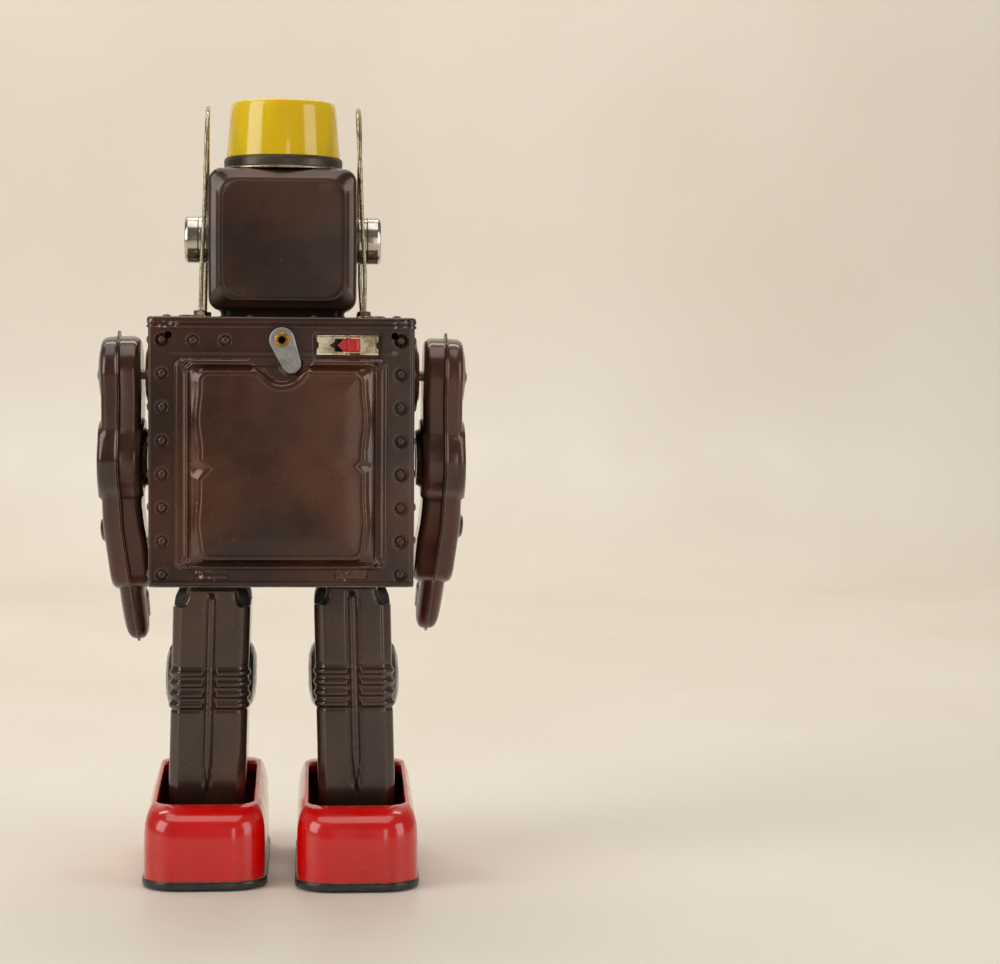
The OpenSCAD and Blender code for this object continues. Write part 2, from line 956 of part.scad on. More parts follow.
module gearbox_frame() {
    y0 = front_y + tin;
    color("#8f918e")
        difference() {
            union() {
                for (s = [-1, 1])
                    translate([s * (plate_x + 0.5), (y0 + 0.9) / 2, 156])
                        slab_x(0.9 - y0, 80, 1, -0.5, 0.5);
                for (z = [121, 193.5])
                    translate([0, y0 + 4, z])
                        rod_x(2, -plate_x - 0.1, plate_x + 0.1);
            }
            for (p = [[hip_y, hip_z, shaft_r], [crank_y, crank_z, crank_r], [idler_a_y, idler_a_z, 1],
                    [idler_b_y, idler_b_z, 1], [motor_y, motor_z, 1]])
                translate([0, p[0], p[1]])
                    rod_x(p[2] + run_gap, -20, 20);
        }
}

// ---- assembly ----

body_shell();
back_panel();
top_lid();
base_plate();
chest_plate();
side_disc();  // side_disc_left
mirror([1, 0, 0]) side_disc();  // side_disc_right
battery_box();
battery_tabs();
battery_end_contacts();
battery_door();
door_latch();
latch_eyelet();
switch_bezel();
switch_knob();
switch_case();
head_front();
head_back();
eye_lenses();
mouth_grille();
ear();  // ear_left
mirror([1, 0, 0]) ear();  // ear_right
dome();
dome_collar();
lamp();
antenna();  // antenna_left
mirror([1, 0, 0]) antenna();  // antenna_right
antenna_nuts();
arm_outer(arm_ratio * stride);  // arm_left_outer
arm_inner(arm_ratio * stride);  // arm_left_inner
hand(arm_ratio * stride);  // hand_left
shoulder_pin(arm_ratio * stride);  // shoulder_pin_left
mirror([1, 0, 0]) arm_outer(-arm_ratio * stride);  // arm_right_outer
mirror([1, 0, 0]) arm_inner(-arm_ratio * stride);  // arm_right_inner
mirror([1, 0, 0]) hand(-arm_ratio * stride);  // hand_right
mirror([1, 0, 0]) shoulder_pin(-arm_ratio * stride);  // shoulder_pin_right
leg_place(-stride) leg();  // leg_left
leg_place(-stride) knee_discs();  // knee_discs_left
leg_place(-stride) hip_lever();  // hip_lever_left
leg_place(stride) mirror([1, 0, 0]) leg();  // leg_right
leg_place(stride) mirror([1, 0, 0]) knee_discs();  // knee_discs_right
leg_place(stride) mirror([1, 0, 0]) hip_lever();  // hip_lever_right
hip_shaft();
shoe_place(-stride) shoe();  // shoe_left
shoe_place(-stride) sole();  // sole_left
shoe_place(-stride) ankle_bracket();  // ankle_bracket_left
mirror([1, 0, 0]) shoe_place(stride) shoe();  // shoe_right
mirror([1, 0, 0]) shoe_place(stride) sole();  // sole_right
mirror([1, 0, 0]) shoe_place(stride) ankle_bracket();  // ankle_bracket_right
shoe_place(-stride) rollers(-roller_y);  // rollers_left_front
shoe_place(-stride) rollers(roller_y);  // rollers_left_rear
mirror([1, 0, 0]) shoe_place(stride) rollers(-roller_y);  // rollers_right_front
mirror([1, 0, 0]) shoe_place(stride) rollers(roller_y);  // rollers_right_rear
gearbox_frame();
motor_can();
motor_pinion();
idler_gear_a();
idler_gear_b();
crankshaft();
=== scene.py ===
import math

import bmesh
import bpy
import numpy as np
from mathutils import Matrix, Vector


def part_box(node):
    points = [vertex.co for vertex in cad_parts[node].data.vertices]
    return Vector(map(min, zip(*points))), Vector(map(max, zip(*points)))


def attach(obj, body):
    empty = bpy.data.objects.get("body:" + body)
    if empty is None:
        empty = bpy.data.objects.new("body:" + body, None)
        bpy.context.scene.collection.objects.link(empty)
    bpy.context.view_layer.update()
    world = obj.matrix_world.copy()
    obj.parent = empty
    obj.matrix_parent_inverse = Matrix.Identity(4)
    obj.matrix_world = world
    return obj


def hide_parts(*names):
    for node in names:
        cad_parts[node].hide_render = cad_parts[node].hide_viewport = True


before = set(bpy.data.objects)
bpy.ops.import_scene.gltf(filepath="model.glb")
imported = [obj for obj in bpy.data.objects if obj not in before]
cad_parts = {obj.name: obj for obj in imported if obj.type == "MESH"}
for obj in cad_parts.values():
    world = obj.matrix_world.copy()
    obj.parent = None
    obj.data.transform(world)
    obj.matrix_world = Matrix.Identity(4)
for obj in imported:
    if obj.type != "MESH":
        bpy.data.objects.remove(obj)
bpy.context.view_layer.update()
scene = bpy.context.scene

# The robot's own sizes in millimetres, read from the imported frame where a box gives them.


def span(node):
    lo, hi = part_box(node)
    return np.array(lo) * 1000, np.array(hi) * 1000


HALF_W = span("back_panel")[1][0]
BACK = 35.0
HIP = (-7.0, 18 + 103.5 * math.cos(math.radians(1.3)))
SHOULDER = (62.7, -7.0, 194.0)
STRIDE = 1.3

# ---- small geometry helpers ----


def smooth(a, b, x):
    t = np.clip((np.asarray(x, float) - a) / (b - a), 0, 1)
    return t * t * (3 - 2 * t)


def curve(xs, ys, x):
    """Monotone cubic through the rows of ys at xs."""
    xs, ys, x = np.asarray(xs, float), np.asarray(ys, float), np.asarray(x, float)
    if ys.ndim == 1:
        ys = ys[:, None]
    h = np.diff(xs)
    d = np.diff(ys, axis=0) / h[:, None]
    m = np.zeros_like(ys)
    for i in range(1, len(xs) - 1):
        w1, w2 = 2 * h[i] + h[i - 1], h[i] + 2 * h[i - 1]
        same = d[i - 1] * d[i] > 0
        a, b = np.where(same, d[i - 1], 1), np.where(same, d[i], 1)
        m[i] = np.where(same, (w1 + w2) / (w1 / a + w2 / b), 0)
    m[0], m[-1] = d[0], d[-1]
    k = np.clip(np.searchsorted(xs, x) - 1, 0, len(xs) - 2)
    t = ((x - xs[k]) / h[k])[:, None]
    hk = h[k][:, None]
    return ((2 * t**3 - 3 * t**2 + 1) * ys[k] + (t**3 - 2 * t**2 + t) * hk * m[k]
            + (3 * t**2 - 2 * t**3) * ys[k + 1] + (t**3 - t**2) * hk * m[k + 1])


def rrect_sdf(x, y, w, h, r):
    qx, qy = np.abs(x) - w / 2 + r, np.abs(y) - h / 2 + r
    return np.hypot(np.maximum(qx, 0), np.maximum(qy, 0)) + np.minimum(np.maximum(qx, qy), 0) - r


def rrect(w, h, r, n=8, m=10):
    """Outline of a rounded rectangle: n steps a corner, m points along a side."""
    corners = []
    for k, (sx, sy) in enumerate(((1, 1), (-1, 1), (-1, -1), (1, -1))):
        a = np.radians(90 * k + np.linspace(0, 90, n + 1))
        corners.append(np.c_[sx * (w / 2 - r) + r * np.cos(a), sy * (h / 2 - r) + r * np.sin(a)])
    out = []
    for k in range(4):
        a, b = corners[k][-1], corners[(k + 1) % 4][0]
        t = np.linspace(0, 1, m + 2)[1:-1, None]
        out += [corners[k], a + (b - a) * t]
    return np.vstack(out)


def fillet(pts, rad, n=5):
    """An open polyline with its corners rounded."""
    pts = np.asarray(pts, float)
    rad = np.broadcast_to(rad, len(pts))
    out = [pts[0]]
    for i in range(1, len(pts) - 1):
        a, b = pts[i - 1] - pts[i], pts[i + 1] - pts[i]
        la, lb = np.linalg.norm(a), np.linalg.norm(b)
        ang = math.acos(np.clip(a @ b / (la * lb), -0.9999, 0.9999))
        d = min(rad[i] / math.tan(ang / 2), 0.48 * la, 0.48 * lb)
        p, q = pts[i] + a / la * d, pts[i] + b / lb * d
        for t in np.linspace(0, 1, n + 1):
            out.append((1 - t) ** 2 * p + 2 * t * (1 - t) * pts[i] + t * t * q)
    out.append(pts[-1])
    return np.array(out)


def loft(rings, wrap=False, caps=True):
    """Quads between rings of the same point count; wrap joins the last ring to the first."""
    n = len(rings[0])
    v = np.vstack(rings)
    k = len(rings)
    f = []
    for i in range(k if wrap else k - 1):
        a, b = i * n, ((i + 1) % k) * n
        f += [(a + j, a + (j + 1) % n, b + (j + 1) % n, b + j) for j in range(n)]
    if caps and not wrap:
        f.append(tuple(reversed(range(n))))
        f.append(tuple((k - 1) * n + j for j in range(n)))
    return v, f


def lathe(profile, n=72, axis="z", at=(0, 0, 0), flip=1):
    """A closed (radius, height) profile turned about an axis."""
    p = np.asarray(profile, float)
    a = np.linspace(0, 2 * np.pi, n, endpoint=False)
    rings = []
    for r, h in p:
        c, s = r * np.cos(a), r * np.sin(a)
        hh = np.full(n, h * flip)
        rings.append({"z": np.c_[c, s, hh], "y": np.c_[c, hh, s], "x": np.c_[hh, c, s]}[axis] + at)
    closed = np.allclose(p[0], p[-1])
    return loft(rings, caps=not closed)


def tube(path, r, n=16):
    path = np.asarray(path, float)
    t = np.gradient(path, axis=0)
    t /= np.linalg.norm(t, axis=1)[:, None]
    up = np.array([1.0, 0.2, 0.1])
    u = up - t[0] * (up @ t[0])
    a = np.linspace(0, 2 * np.pi, n, endpoint=False)
    r = np.broadcast_to(r, len(path))
    rings = []
    for i in range(len(path)):
        u = u - t[i] * (u @ t[i])
        u /= np.linalg.norm(u)
        w = np.cross(t[i], u)
        rings.append(path[i] + r[i] * (np.outer(np.cos(a), u) + np.outer(np.sin(a), w)))
    return loft(rings)


def sheet(us, vs, keep, height, t, place=None):
    """A formed sheet on a grid: metal where keep < 0, its outline snapped to keep = 0."""
    U, V = np.meshgrid(us, vs, indexing="ij")
    nu, nv = U.shape
    s = keep(U, V)
    inside = s < 0
    idx = np.arange(nu * nv).reshape(nu, nv)
    quads = np.stack([idx[:-1, :-1], idx[1:, :-1], idx[1:, 1:], idx[:-1, 1:]], -1).reshape(-1, 4)
    flat = inside.ravel()
    quads = quads[flat[quads].any(1)]
    for _ in range(3):
        e = 0.005
        s = keep(U, V)
        gu = (keep(U + e, V) - keep(U - e, V)) / (2 * e)
        gv = (keep(U, V + e) - keep(U, V - e)) / (2 * e)
        g = np.maximum(gu * gu + gv * gv, 0.2)
        move = (s > 0) & ~inside
        U = np.where(move, U - s * gu / g, U)
        V = np.where(move, V - s * gv / g, V)
    H = height(U, V)
    place = place or (lambda u, h, v: np.stack([u, h, v], -1))
    top = place(U, H, V).reshape(-1, 3)
    low = place(U, H - t, V).reshape(-1, 3)
    used = np.unique(quads)
    new = -np.ones(nu * nv, int)
    new[used] = np.arange(len(used))
    q = new[quads]
    k = len(used)
    edges = np.stack([q, np.roll(q, -1, 1)], -1).reshape(-1, 2)
    key = np.sort(edges, 1)
    _, first, count = np.unique(key[:, 0] * k + key[:, 1], return_index=True, return_counts=True)
    rim = edges[first[count == 1]]
    v = np.vstack([top[used], low[used]])
    f = q[:, ::-1].tolist() + (q + k).tolist()
    f += [(a, b, b + k, a + k) for a, b in rim.tolist()]
    return v, f


def joined(*parts):
    v, f, n = [], [], 0
    for pv, pf in parts:
        v.append(np.asarray(pv))
        f += [tuple(i + n for i in face) for face in pf]
        n += len(pv)
    return np.vstack(v), f


def mirrored(part):
    v, f = part
    return np.asarray(v) * (-1, 1, 1), [tuple(reversed(face)) for face in f]


def turned_x(v, deg, pivot=(0, 0, 0)):
    a = math.radians(deg)
    p = np.asarray(v, float) - pivot
    return np.c_[p[:, 0], p[:, 1] * math.cos(a) - p[:, 2] * math.sin(a),
                 p[:, 1] * math.sin(a) + p[:, 2] * math.cos(a)] + pivot


def turned_y(v, deg):
    a = math.radians(deg)
    p = np.asarray(v, float)
    return np.c_[p[:, 0] * math.cos(a) + p[:, 2] * math.sin(a), p[:, 1],
                 -p[:, 0] * math.sin(a) + p[:, 2] * math.cos(a)]


def piece(name, part, mat, body, nodes=(), angle=38, weld=0.0):
    v, f = part
    me = bpy.data.meshes.new(name)
    me.from_pydata((np.asarray(v, float) * 0.001).tolist(), [], [tuple(x) for x in f])
    bm = bmesh.new()
    bm.from_mesh(me)
    if weld:
        bmesh.ops.remove_doubles(bm, verts=bm.verts, dist=weld * 0.001)
    bmesh.ops.dissolve_degenerate(bm, edges=bm.edges, dist=1e-8)
    bmesh.ops.recalc_face_normals(bm, faces=bm.faces)
    bm.to_mesh(me)
    bm.free()
    me.polygons.foreach_set("use_smooth", np.ones(len(me.polygons), bool))
    me.set_sharp_from_angle(angle=math.radians(angle))
    me.materials.append(mat)
    ob = bpy.data.objects.new(name, me)
    scene.collection.objects.link(ob)
    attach(ob, body)
    if nodes:
        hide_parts(*nodes)
    return ob


def dress(node, mat, width=0.15, segments=2):
    """A CAD node whose shape is right: eased edges and its own finish."""
    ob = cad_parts[node]
    ob.data.materials.clear()
    ob.data.materials.append(mat)
    weld = ob.modifiers.new("weld", "WELD")
    weld.merge_threshold = 1e-6
    ease = ob.modifiers.new("ease", "BEVEL")
    ease.width = width * 0.001
    ease.segments = segments
    ease.limit_method = "ANGLE"
    ease.angle_limit = math.radians(35)
    ease.harden_normals = False
    for p in ob.data.polygons:
        p.use_smooth = True
    return ob


# ---- finishes ----


def lin(r, g, b):
    f = lambda c: c / 12.92 if c <= 0.04045 else ((c + 0.055) / 1.055) ** 2.4
    return (f(r / 255), f(g / 255), f(b / 255), 1.0)


class Finish:
    """A node tree on one Principled shader, with shared object coordinates in metres."""

    def __init__(self, name, slot, rough=0.4, metal=0.0, **sockets):
        m = bpy.data.materials.new(name)
        m.use_nodes = True
        self.mat, self.nt = m, m.node_tree
        self.bsdf = self.nt.nodes["Principled BSDF"]
        self.bsdf.inputs["Metallic"].default_value = metal
        self.bsdf.inputs["Roughness"].default_value = rough
        for k, val in sockets.items():
            self.bsdf.inputs[k.replace("_", " ")].default_value = val
        self.co = self.nt.nodes.new("ShaderNodeTexCoord").outputs["Object"]

    def node(self, kind, **props):
        n = self.nt.nodes.new("ShaderNode" + kind)
        for k, val in props.items():
            setattr(n, k, val)
        return n

    def link(self, a, b):
        self.nt.links.new(a, b)

    def stretch(self, sx, sy, sz):
        m = self.node("Mapping")
        m.inputs["Scale"].default_value = (sx, sy, sz)
        self.link(self.co, m.inputs["Vector"])
        return m.outputs["Vector"]

    def noise(self, scale, detail=3.0, rough=0.5, co=None):
        n = self.node("TexNoise")
        n.inputs["Scale"].default_value = scale
        n.inputs["Detail"].default_value = detail
        n.inputs["Roughness"].default_value = rough
        self.link(co or self.co, n.inputs["Vector"])
        return n.outputs["Fac"]

    def ramp(self, src, a, b, lo=0.0, hi=1.0):
        n = self.node("MapRange", interpolation_type="SMOOTHSTEP")
        for k, val in zip((1, 2, 3, 4), (a, b, lo, hi)):
            n.inputs[k].default_value = val
        self.link(src, n.inputs[0])
        return n.outputs[0]

    def math(self, op, a, b):
        n = self.node("Math", operation=op)
        for i, x in enumerate((a, b)):
            if isinstance(x, (int, float)):
                n.inputs[i].default_value = x
            else:
                self.link(x, n.inputs[i])
        return n.outputs[0]

    def mix(self, fac, a, b):
        n = self.node("Mix", data_type="RGBA")
        self.link(fac, n.inputs[0])
        for i, x in ((6, a), (7, b)):
            if isinstance(x, tuple):
                n.inputs[i].default_value = x
            else:
                self.link(x, n.inputs[i])
        return n.outputs[2]

    def mask_near(self, points, radius):
        """1 close to any of these points (millimetres), 0 beyond radius."""
        out = None
        for p in points:
            d = self.node("VectorMath", operation="DISTANCE")
            self.link(self.co, d.inputs[0])
            d.inputs[1].default_value = tuple(c * 0.001 for c in p)
            m = self.ramp(d.outputs["Value"], radius * 0.0004, radius * 0.001, 1.0, 0.0)
            out = m if out is None else self.math("MAXIMUM", out, m)
        return out

    def pointed(self, a=0.53, b=0.62):
        g = self.node("NewGeometry")
        return self.ramp(g.outputs["Pointiness"], a, b)

    def color(self, src):
        self.link(src, self.bsdf.inputs["Base Color"])

    def rough(self, src):
        self.link(src, self.bsdf.inputs["Roughness"])

    def metal(self, src):
        self.link(src, self.bsdf.inputs["Metallic"])

    def bump(self, *layers):
        """layers of (height, strength, distance in mm)."""
        normal = None
        for src, strength, dist in layers:
            n = self.node("Bump")
            n.inputs["Strength"].default_value = strength
            n.inputs["Distance"].default_value = dist * 0.001
            self.link(src, n.inputs["Height"])
            if normal is not None:
                self.link(normal, n.inputs["Normal"])
            normal = n.outputs["Normal"]
        self.link(normal, self.bsdf.inputs["Normal"])


TIN = lin(206, 196, 178)


def lacquer(name, slot, dark, warm, chips=(), chip_r=7.0, edge=0.35, coat=0.55, rough=0.3):
    """Metallic lacquer baked on tinplate, rubbed at its edges and chipped at some points."""
    f = Finish(name, slot, metal=0.45, Coat_Weight=coat, Coat_Roughness=0.13, Coat_IOR=1.5)
    big = f.noise(22, 2.0)
    mid = f.noise(120, 4.0, 0.6)
    flake = f.noise(5200, 1.0)
    c = f.mix(f.ramp(big, 0.36, 0.66), dark, warm)
    c = f.mix(f.math("MULTIPLY", f.ramp(mid, 0.45, 0.75), 0.15), c, warm)
    lighter = tuple(min(1, k * 1.9 + 0.012) for k in warm[:3]) + (1.0,)
    c = f.mix(f.math("MULTIPLY", f.ramp(flake, 0.52, 0.72), 0.4), c, lighter)
    speck = f.math("MULTIPLY", f.ramp(f.noise(430, 2.0), 0.73, 0.76), 0.3)
    c = f.mix(speck, c, lin(120, 92, 74))
    rub = f.math("MULTIPLY", f.math("MULTIPLY", f.pointed(0.535, 0.63), f.ramp(f.noise(260, 4.0, 0.7), 0.42, 0.62)), edge)
    c = f.mix(rub, c, lin(168, 138, 112))
    bare = None
    if chips:
        bare = f.math("MULTIPLY", f.mask_near(chips, chip_r), f.ramp(f.noise(620, 5.0, 0.72), 0.575, 0.6))
        c = f.mix(bare, c, TIN)
    f.color(c)
    r = f.ramp(f.noise(70, 5.0, 0.65), 0.3, 0.75, rough - 0.06, rough + 0.12)
    f.rough(r)
    peel = f.noise(760, 2.0)
    oil = f.noise(26, 1.0)
    scratch = f.noise(900, 2.0, co=f.stretch(0.15, 1, 1))
    layers = [(oil, 0.25, 1.6), (peel, 0.05, 0.12), (scratch, 0.03, 0.05)]
    if bare is not None:
        layers.append((bare, -0.3, 0.08))
    f.bump(*layers)
    return f.mat


CORNERS = [(48.5, 35, 213.6), (43, 35, 213), (-46, 35, 213.4), (49.5, -30, 213), (-49.5, -30, 213)]
HINGES = [(27, 35, 118.6), (31, 35, 118.8), (-24, 35, 118.8), (-29, 35, 118.8)]
BROWN_D, BROWN_W = lin(40, 23, 15), lin(72, 40, 24)
brown = lacquer("body_lacquer", "brown_lacquer", BROWN_D, BROWN_W, chips=HINGES, chip_r=3.2)
brown_lid = lacquer("lid_lacquer", "brown_lacquer", BROWN_D, BROWN_W, chips=CORNERS, chip_r=5.0, edge=0.6)
brown_head = lacquer("head_lacquer", "brown_lacquer", lin(40, 25, 17), lin(72, 42, 27), edge=0.1)
brown_door = lacquer("door_lacquer", "brown_lacquer", lin(34, 20, 13), lin(82, 44, 20), chips=HINGES,
                     chip_r=2.6, edge=0.5, coat=0.7, rough=0.26)
brown_arm = lacquer("arm_lacquer", "brown_lacquer", lin(42, 27, 20), lin(80, 43, 24), edge=0.5, coat=0.7)
brown_leg = lacquer("leg_lacquer", "brown_lacquer", lin(48, 34, 26), lin(76, 50, 34), edge=0.5, coat=0.75, rough=0.25)


def red_enamel():
    f = Finish("red_enamel", "red_lacquer", Coat_Weight=0.65, Coat_Roughness=0.05, Coat_IOR=1.5)
    c = f.mix(f.ramp(f.noise(30, 3.0), 0.35, 0.7), lin(196, 3, 2), lin(212, 8, 4))
    run = f.ramp(f.noise(260, 3.0, 0.6, f.stretch(1, 1, 0.08)), 0.5, 0.75)
    c = f.mix(f.math("MULTIPLY", run, 0.18), c, lin(168, 14, 10))
    rub = f.math("MULTIPLY", f.math("MULTIPLY", f.pointed(0.54, 0.64), f.ramp(f.noise(300, 4.0), 0.45, 0.65)), 0.35)
    c = f.mix(rub, c, lin(150, 40, 30))
    f.color(c)
    f.rough(f.ramp(f.noise(90, 4.0), 0.3, 0.7, 0.16, 0.3))
    f.bump((f.noise(34, 1.0), 0.18, 1.2), (f.noise(640, 2.0), 0.04, 0.1))
    return f.mat


def metal(name, slot, c1, c2, rough=0.22, spread=0.16, blotch=90, brushed=(1, 1, 1), bump=0.05, dull=0.0):
    f = Finish(name, slot, metal=1.0 - dull)
    c = f.mix(f.ramp(f.noise(blotch, 4.0, 0.65), 0.38, 0.68), c1, c2)
    grime = f.math("MULTIPLY", f.ramp(f.noise(520, 4.0, 0.7), 0.6, 0.76), 0.3)
    c = f.mix(grime, c, tuple(k * 0.42 for k in c2[:3]) + (1.0,))
    f.color(c)
    f.rough(f.ramp(f.noise(blotch * 1.7, 5.0, 0.7), 0.3, 0.75, rough, rough + spread))
    f.bump((f.noise(1500, 3.0, 0.6, f.stretch(*brushed)), bump, 0.06), (f.noise(160, 3.0), 0.06, 0.2))
    return f.mat


red = red_enamel()
nickel = metal("nickel_plate", "nickel", lin(206, 200, 190), lin(170, 158, 140), 0.12, 0.14)
nickel_worn = metal("nickel_worn", "nickel", lin(190, 182, 162), lin(140, 112, 66), 0.2, 0.2, 210)
wire_metal = metal("antenna_wire", "nickel", lin(176, 168, 146), lin(136, 116, 82), 0.2, 0.16, 330)
brass = metal("brass", "brass", lin(176, 132, 66), lin(120, 84, 40), 0.24, 0.18, 200)
steel = metal("steel", "steel", lin(160, 160, 158), lin(116, 114, 110), 0.28, 0.2, 120)
zinc = metal("zinc", "zinc", lin(158, 158, 154), lin(128, 128, 124), 0.4, 0.14, 140, dull=0.45)
grey_tin = metal("grey_tin", "grey_tin", lin(120, 118, 112), lin(86, 82, 76), 0.34, 0.2, 60)


def dark_part(name, slot, c1, c2, rough=0.5, coat=0.0, bump=0.12):
    f = Finish(name, slot, Coat_Weight=coat, Coat_Roughness=0.2)
    f.color(f.mix(f.ramp(f.noise(110, 5.0, 0.65), 0.35, 0.7), c1, c2))
    f.rough(f.ramp(f.noise(200, 4.0), 0.3, 0.75, rough - 0.1, rough + 0.15))
    f.bump((f.noise(900, 3.0), bump, 0.1))
    return f.mat


sole_black = dark_part("sole_black", "black_sole", lin(20, 20, 21), lin(44, 42, 40), 0.42, 0.3)
rubber = dark_part("roller_rubber", "black_rubber", lin(30, 30, 31), lin(52, 50, 48), 0.6)
plastic_dark = dark_part("dark_plastic", "dark_plastic", lin(42, 43, 45), lin(58, 58, 60), 0.45)
# Near-black finish used as painted shade: it fills holes, slots and recesses that look dark only because they lie in
# shadow; the metal there is brown lacquer.
painted_shade = dark_part("painted_shade_black", "brown_lacquer", lin(14, 10, 9), lin(26, 19, 16), 0.6)
disc_dark = dark_part("disc_lacquer", "brown_lacquer", lin(30, 22, 18), lin(52, 38, 30), 0.28, 0.8, 0.05)
collar_mat = metal("collar_tin", "grey_tin", lin(82, 72, 62), lin(56, 46, 38), 0.32, 0.16, 70, dull=0.35)
red_plastic = dark_part("red_plastic", "red_plastic", lin(206, 20, 16), lin(176, 10, 10), 0.3, 0.5, 0.05)


def yellow_plastic():
    f = Finish("dome_plastic", "yellow_dome", Transmission_Weight=0.18, IOR=1.46, Coat_Weight=0.6,
               Coat_Roughness=0.04, Subsurface_Weight=0.25, Subsurface_Scale=0.004)
    f.bsdf.inputs["Subsurface Radius"].default_value = (1.0, 0.75, 0.1)
    flow = f.noise(80, 3.0, 0.5, f.stretch(1, 1, 0.12))
    c = f.mix(f.ramp(flow, 0.35, 0.7), lin(254, 214, 0), lin(246, 200, 2))
    f.color(f.mix(f.math("MULTIPLY", f.ramp(f.noise(900, 2.0), 0.6, 0.8), 0.25), c, lin(240, 220, 70)))
    f.rough(f.ramp(f.noise(160, 4.0), 0.3, 0.75, 0.12, 0.24))
    f.bump((f.noise(520, 2.0, 0.5, f.stretch(1, 1, 0.2)), 0.04, 0.1))
    return f.mat


def cream():
    f = Finish("cream_litho", "cream_tin", Coat_Weight=0.35, Coat_Roughness=0.15)
    c = f.mix(f.ramp(f.noise(60, 4.0), 0.4, 0.7), lin(232, 228, 208), lin(214, 208, 182))
    rust = f.math("MULTIPLY", f.ramp(f.noise(240, 5.0, 0.7), 0.64, 0.72), 0.5)
    f.color(f.mix(rust, c, lin(164, 140, 96)))
    f.rough(f.ramp(f.noise(120, 4.0), 0.3, 0.7, 0.28, 0.42))
    f.bump((f.noise(700, 2.0), 0.05, 0.1), (f.noise(40, 1.0), 0.15, 0.8))
    return f.mat


def lens_orange():
    f = Finish("lens_plastic", "orange_lens", Transmission_Weight=0.45, IOR=1.48, Coat_Weight=0.8, Coat_Roughness=0.04)
    f.color(f.mix(f.ramp(f.noise(300, 3.0), 0.4, 0.7), lin(222, 96, 30), lin(196, 70, 20)))
    f.rough(f.ramp(f.noise(400, 3.0), 0.3, 0.7, 0.08, 0.2))
    f.bump((f.noise(900, 2.0), 0.05, 0.1))
    return f.mat


def glass():
    f = Finish("lamp_glass", "lamp_glass", Transmission_Weight=0.6, IOR=1.45, Coat_Weight=0.5)
    f.color(f.mix(f.ramp(f.noise(200, 3.0), 0.4, 0.7), lin(244, 240, 228), lin(226, 220, 204)))
    f.rough(f.ramp(f.noise(300, 3.0), 0.3, 0.7, 0.1, 0.3))
    f.bump((f.noise(800, 2.0), 0.04, 0.1))
    return f.mat


def litho_disc():
    """Printed rings of orange, gold, cream and brown about the shoulder axis."""
    f = Finish("litho_rings", "litho_tin", metal=0.35, Coat_Weight=0.8, Coat_Roughness=0.08)
    sep = f.node("SeparateXYZ")
    f.link(f.co, sep.inputs[0])
    y = f.math("SUBTRACT", sep.outputs["Y"], SHOULDER[1] * 0.001)
    z = f.math("SUBTRACT", sep.outputs["Z"], SHOULDER[2] * 0.001)
    r = f.math("SQRT", f.math("ADD", f.math("MULTIPLY", y, y), f.math("MULTIPLY", z, z)), 0)
    ang = f.math("ARCTAN2", y, z)
    spokes = f.ramp(f.math("SINE", f.math("MULTIPLY", ang, 16), 0), -0.15, 0.15)
    edge = lambda mm: f.ramp(r, (mm - 0.15) * 0.001, (mm + 0.15) * 0.001)
    c = f.mix(edge(5.5), lin(196, 150, 70), lin(224, 216, 196))
    c = f.mix(edge(7.5), c, lin(206, 78, 26))
    ray = f.mix(spokes, lin(206, 78, 26), lin(214, 168, 84))
    c = f.mix(edge(9.0), c, ray)
    c = f.mix(edge(12.6), c, lin(226, 218, 200))
    c = f.mix(edge(13.6), c, lin(60, 36, 26))
    c = f.mix(f.math("MULTIPLY", f.ramp(f.noise(420, 5.0, 0.7), 0.58, 0.7), 0.6), c, lin(90, 66, 48))
    f.color(c)
    f.rough(f.ramp(f.noise(200, 4.0), 0.3, 0.7, 0.2, 0.36))
    f.bump((f.noise(700, 2.0), 0.05, 0.1))
    return f.mat


yellow, cream_mat, orange, glass_mat, litho = yellow_plastic(), cream(), lens_orange(), glass(), litho_disc()
ink = dark_part("print_ink", "cream_tin", lin(30, 27, 24), lin(52, 46, 40), 0.4)

# ---- body: back panel, shell, lid ----

RIVET_Z = [118.8 + 12.68 * i for i in range(8)]
RIVETS = [(s * 45.0, z) for s in (-1, 1) for z in RIVET_Z] + [(21.2, 207.3), (33.3, 207.3), (45.0, 207.6), (-45.0, 207.6)]


def panel_keep(x, z):
    s = rrect_sdf(x, z - 165.2, 100.4, 101.2, 0.5)
    s = np.maximum(s, -rrect_sdf(x, z - 161.4, 74.6, 70.4, 2.0))
    for sx in (-1, 1):
        s = np.maximum(s, 1.35 - np.hypot(x - sx * 42.6, z - 209.4))
        s = np.maximum(s, -rrect_sdf(x - sx * 26.2, z - 118.0, 12.2, 1.9, 0.4))
    s = np.maximum(s, 1.75 - np.hypot(x, z - 207.7))
    return np.maximum(s, -rrect_sdf(x + 24.7, z - 205.85, 18, 5.6, 0.6))


def panel_height(x, z):
    h = BACK - 0.05 * np.cos(x * 0.11) * np.cos((z - 160) * 0.07)
    for rx, rz in RIVETS:
        d = np.hypot(x - rx, z - rz)
        dome = 0.85 * np.sqrt(np.clip(1 - (d / 1.7) ** 2, 0, 1))
        dish = -0.42 * np.exp(-((d - 1.85) / 0.5) ** 2)
        h = h + np.where(d < 1.7, dome, 0) + np.where(d < 4, dish, 0) * smooth(3.6, 2.4, d)
    bezel = rrect_sdf(x + 24.7, z - 205.85, 24.5, 8.6, 1.0)
    h = h - 0.25 * smooth(0.9, -0.1, bezel)
    h = h + 0.18 * np.exp(-((z - 203.0) / 0.7) ** 2) * smooth(44, 41, np.abs(x))
    h = h - 0.3 * smooth(115.9, 114.7, z) + 0.22 * np.exp(-((z - 115.7) / 0.45) ** 2)
    over = np.clip(np.abs(x) - (HALF_W - 1.5), 0, 1.4999)
    return h - (1.5 - np.sqrt(1.5**2 - over**2))


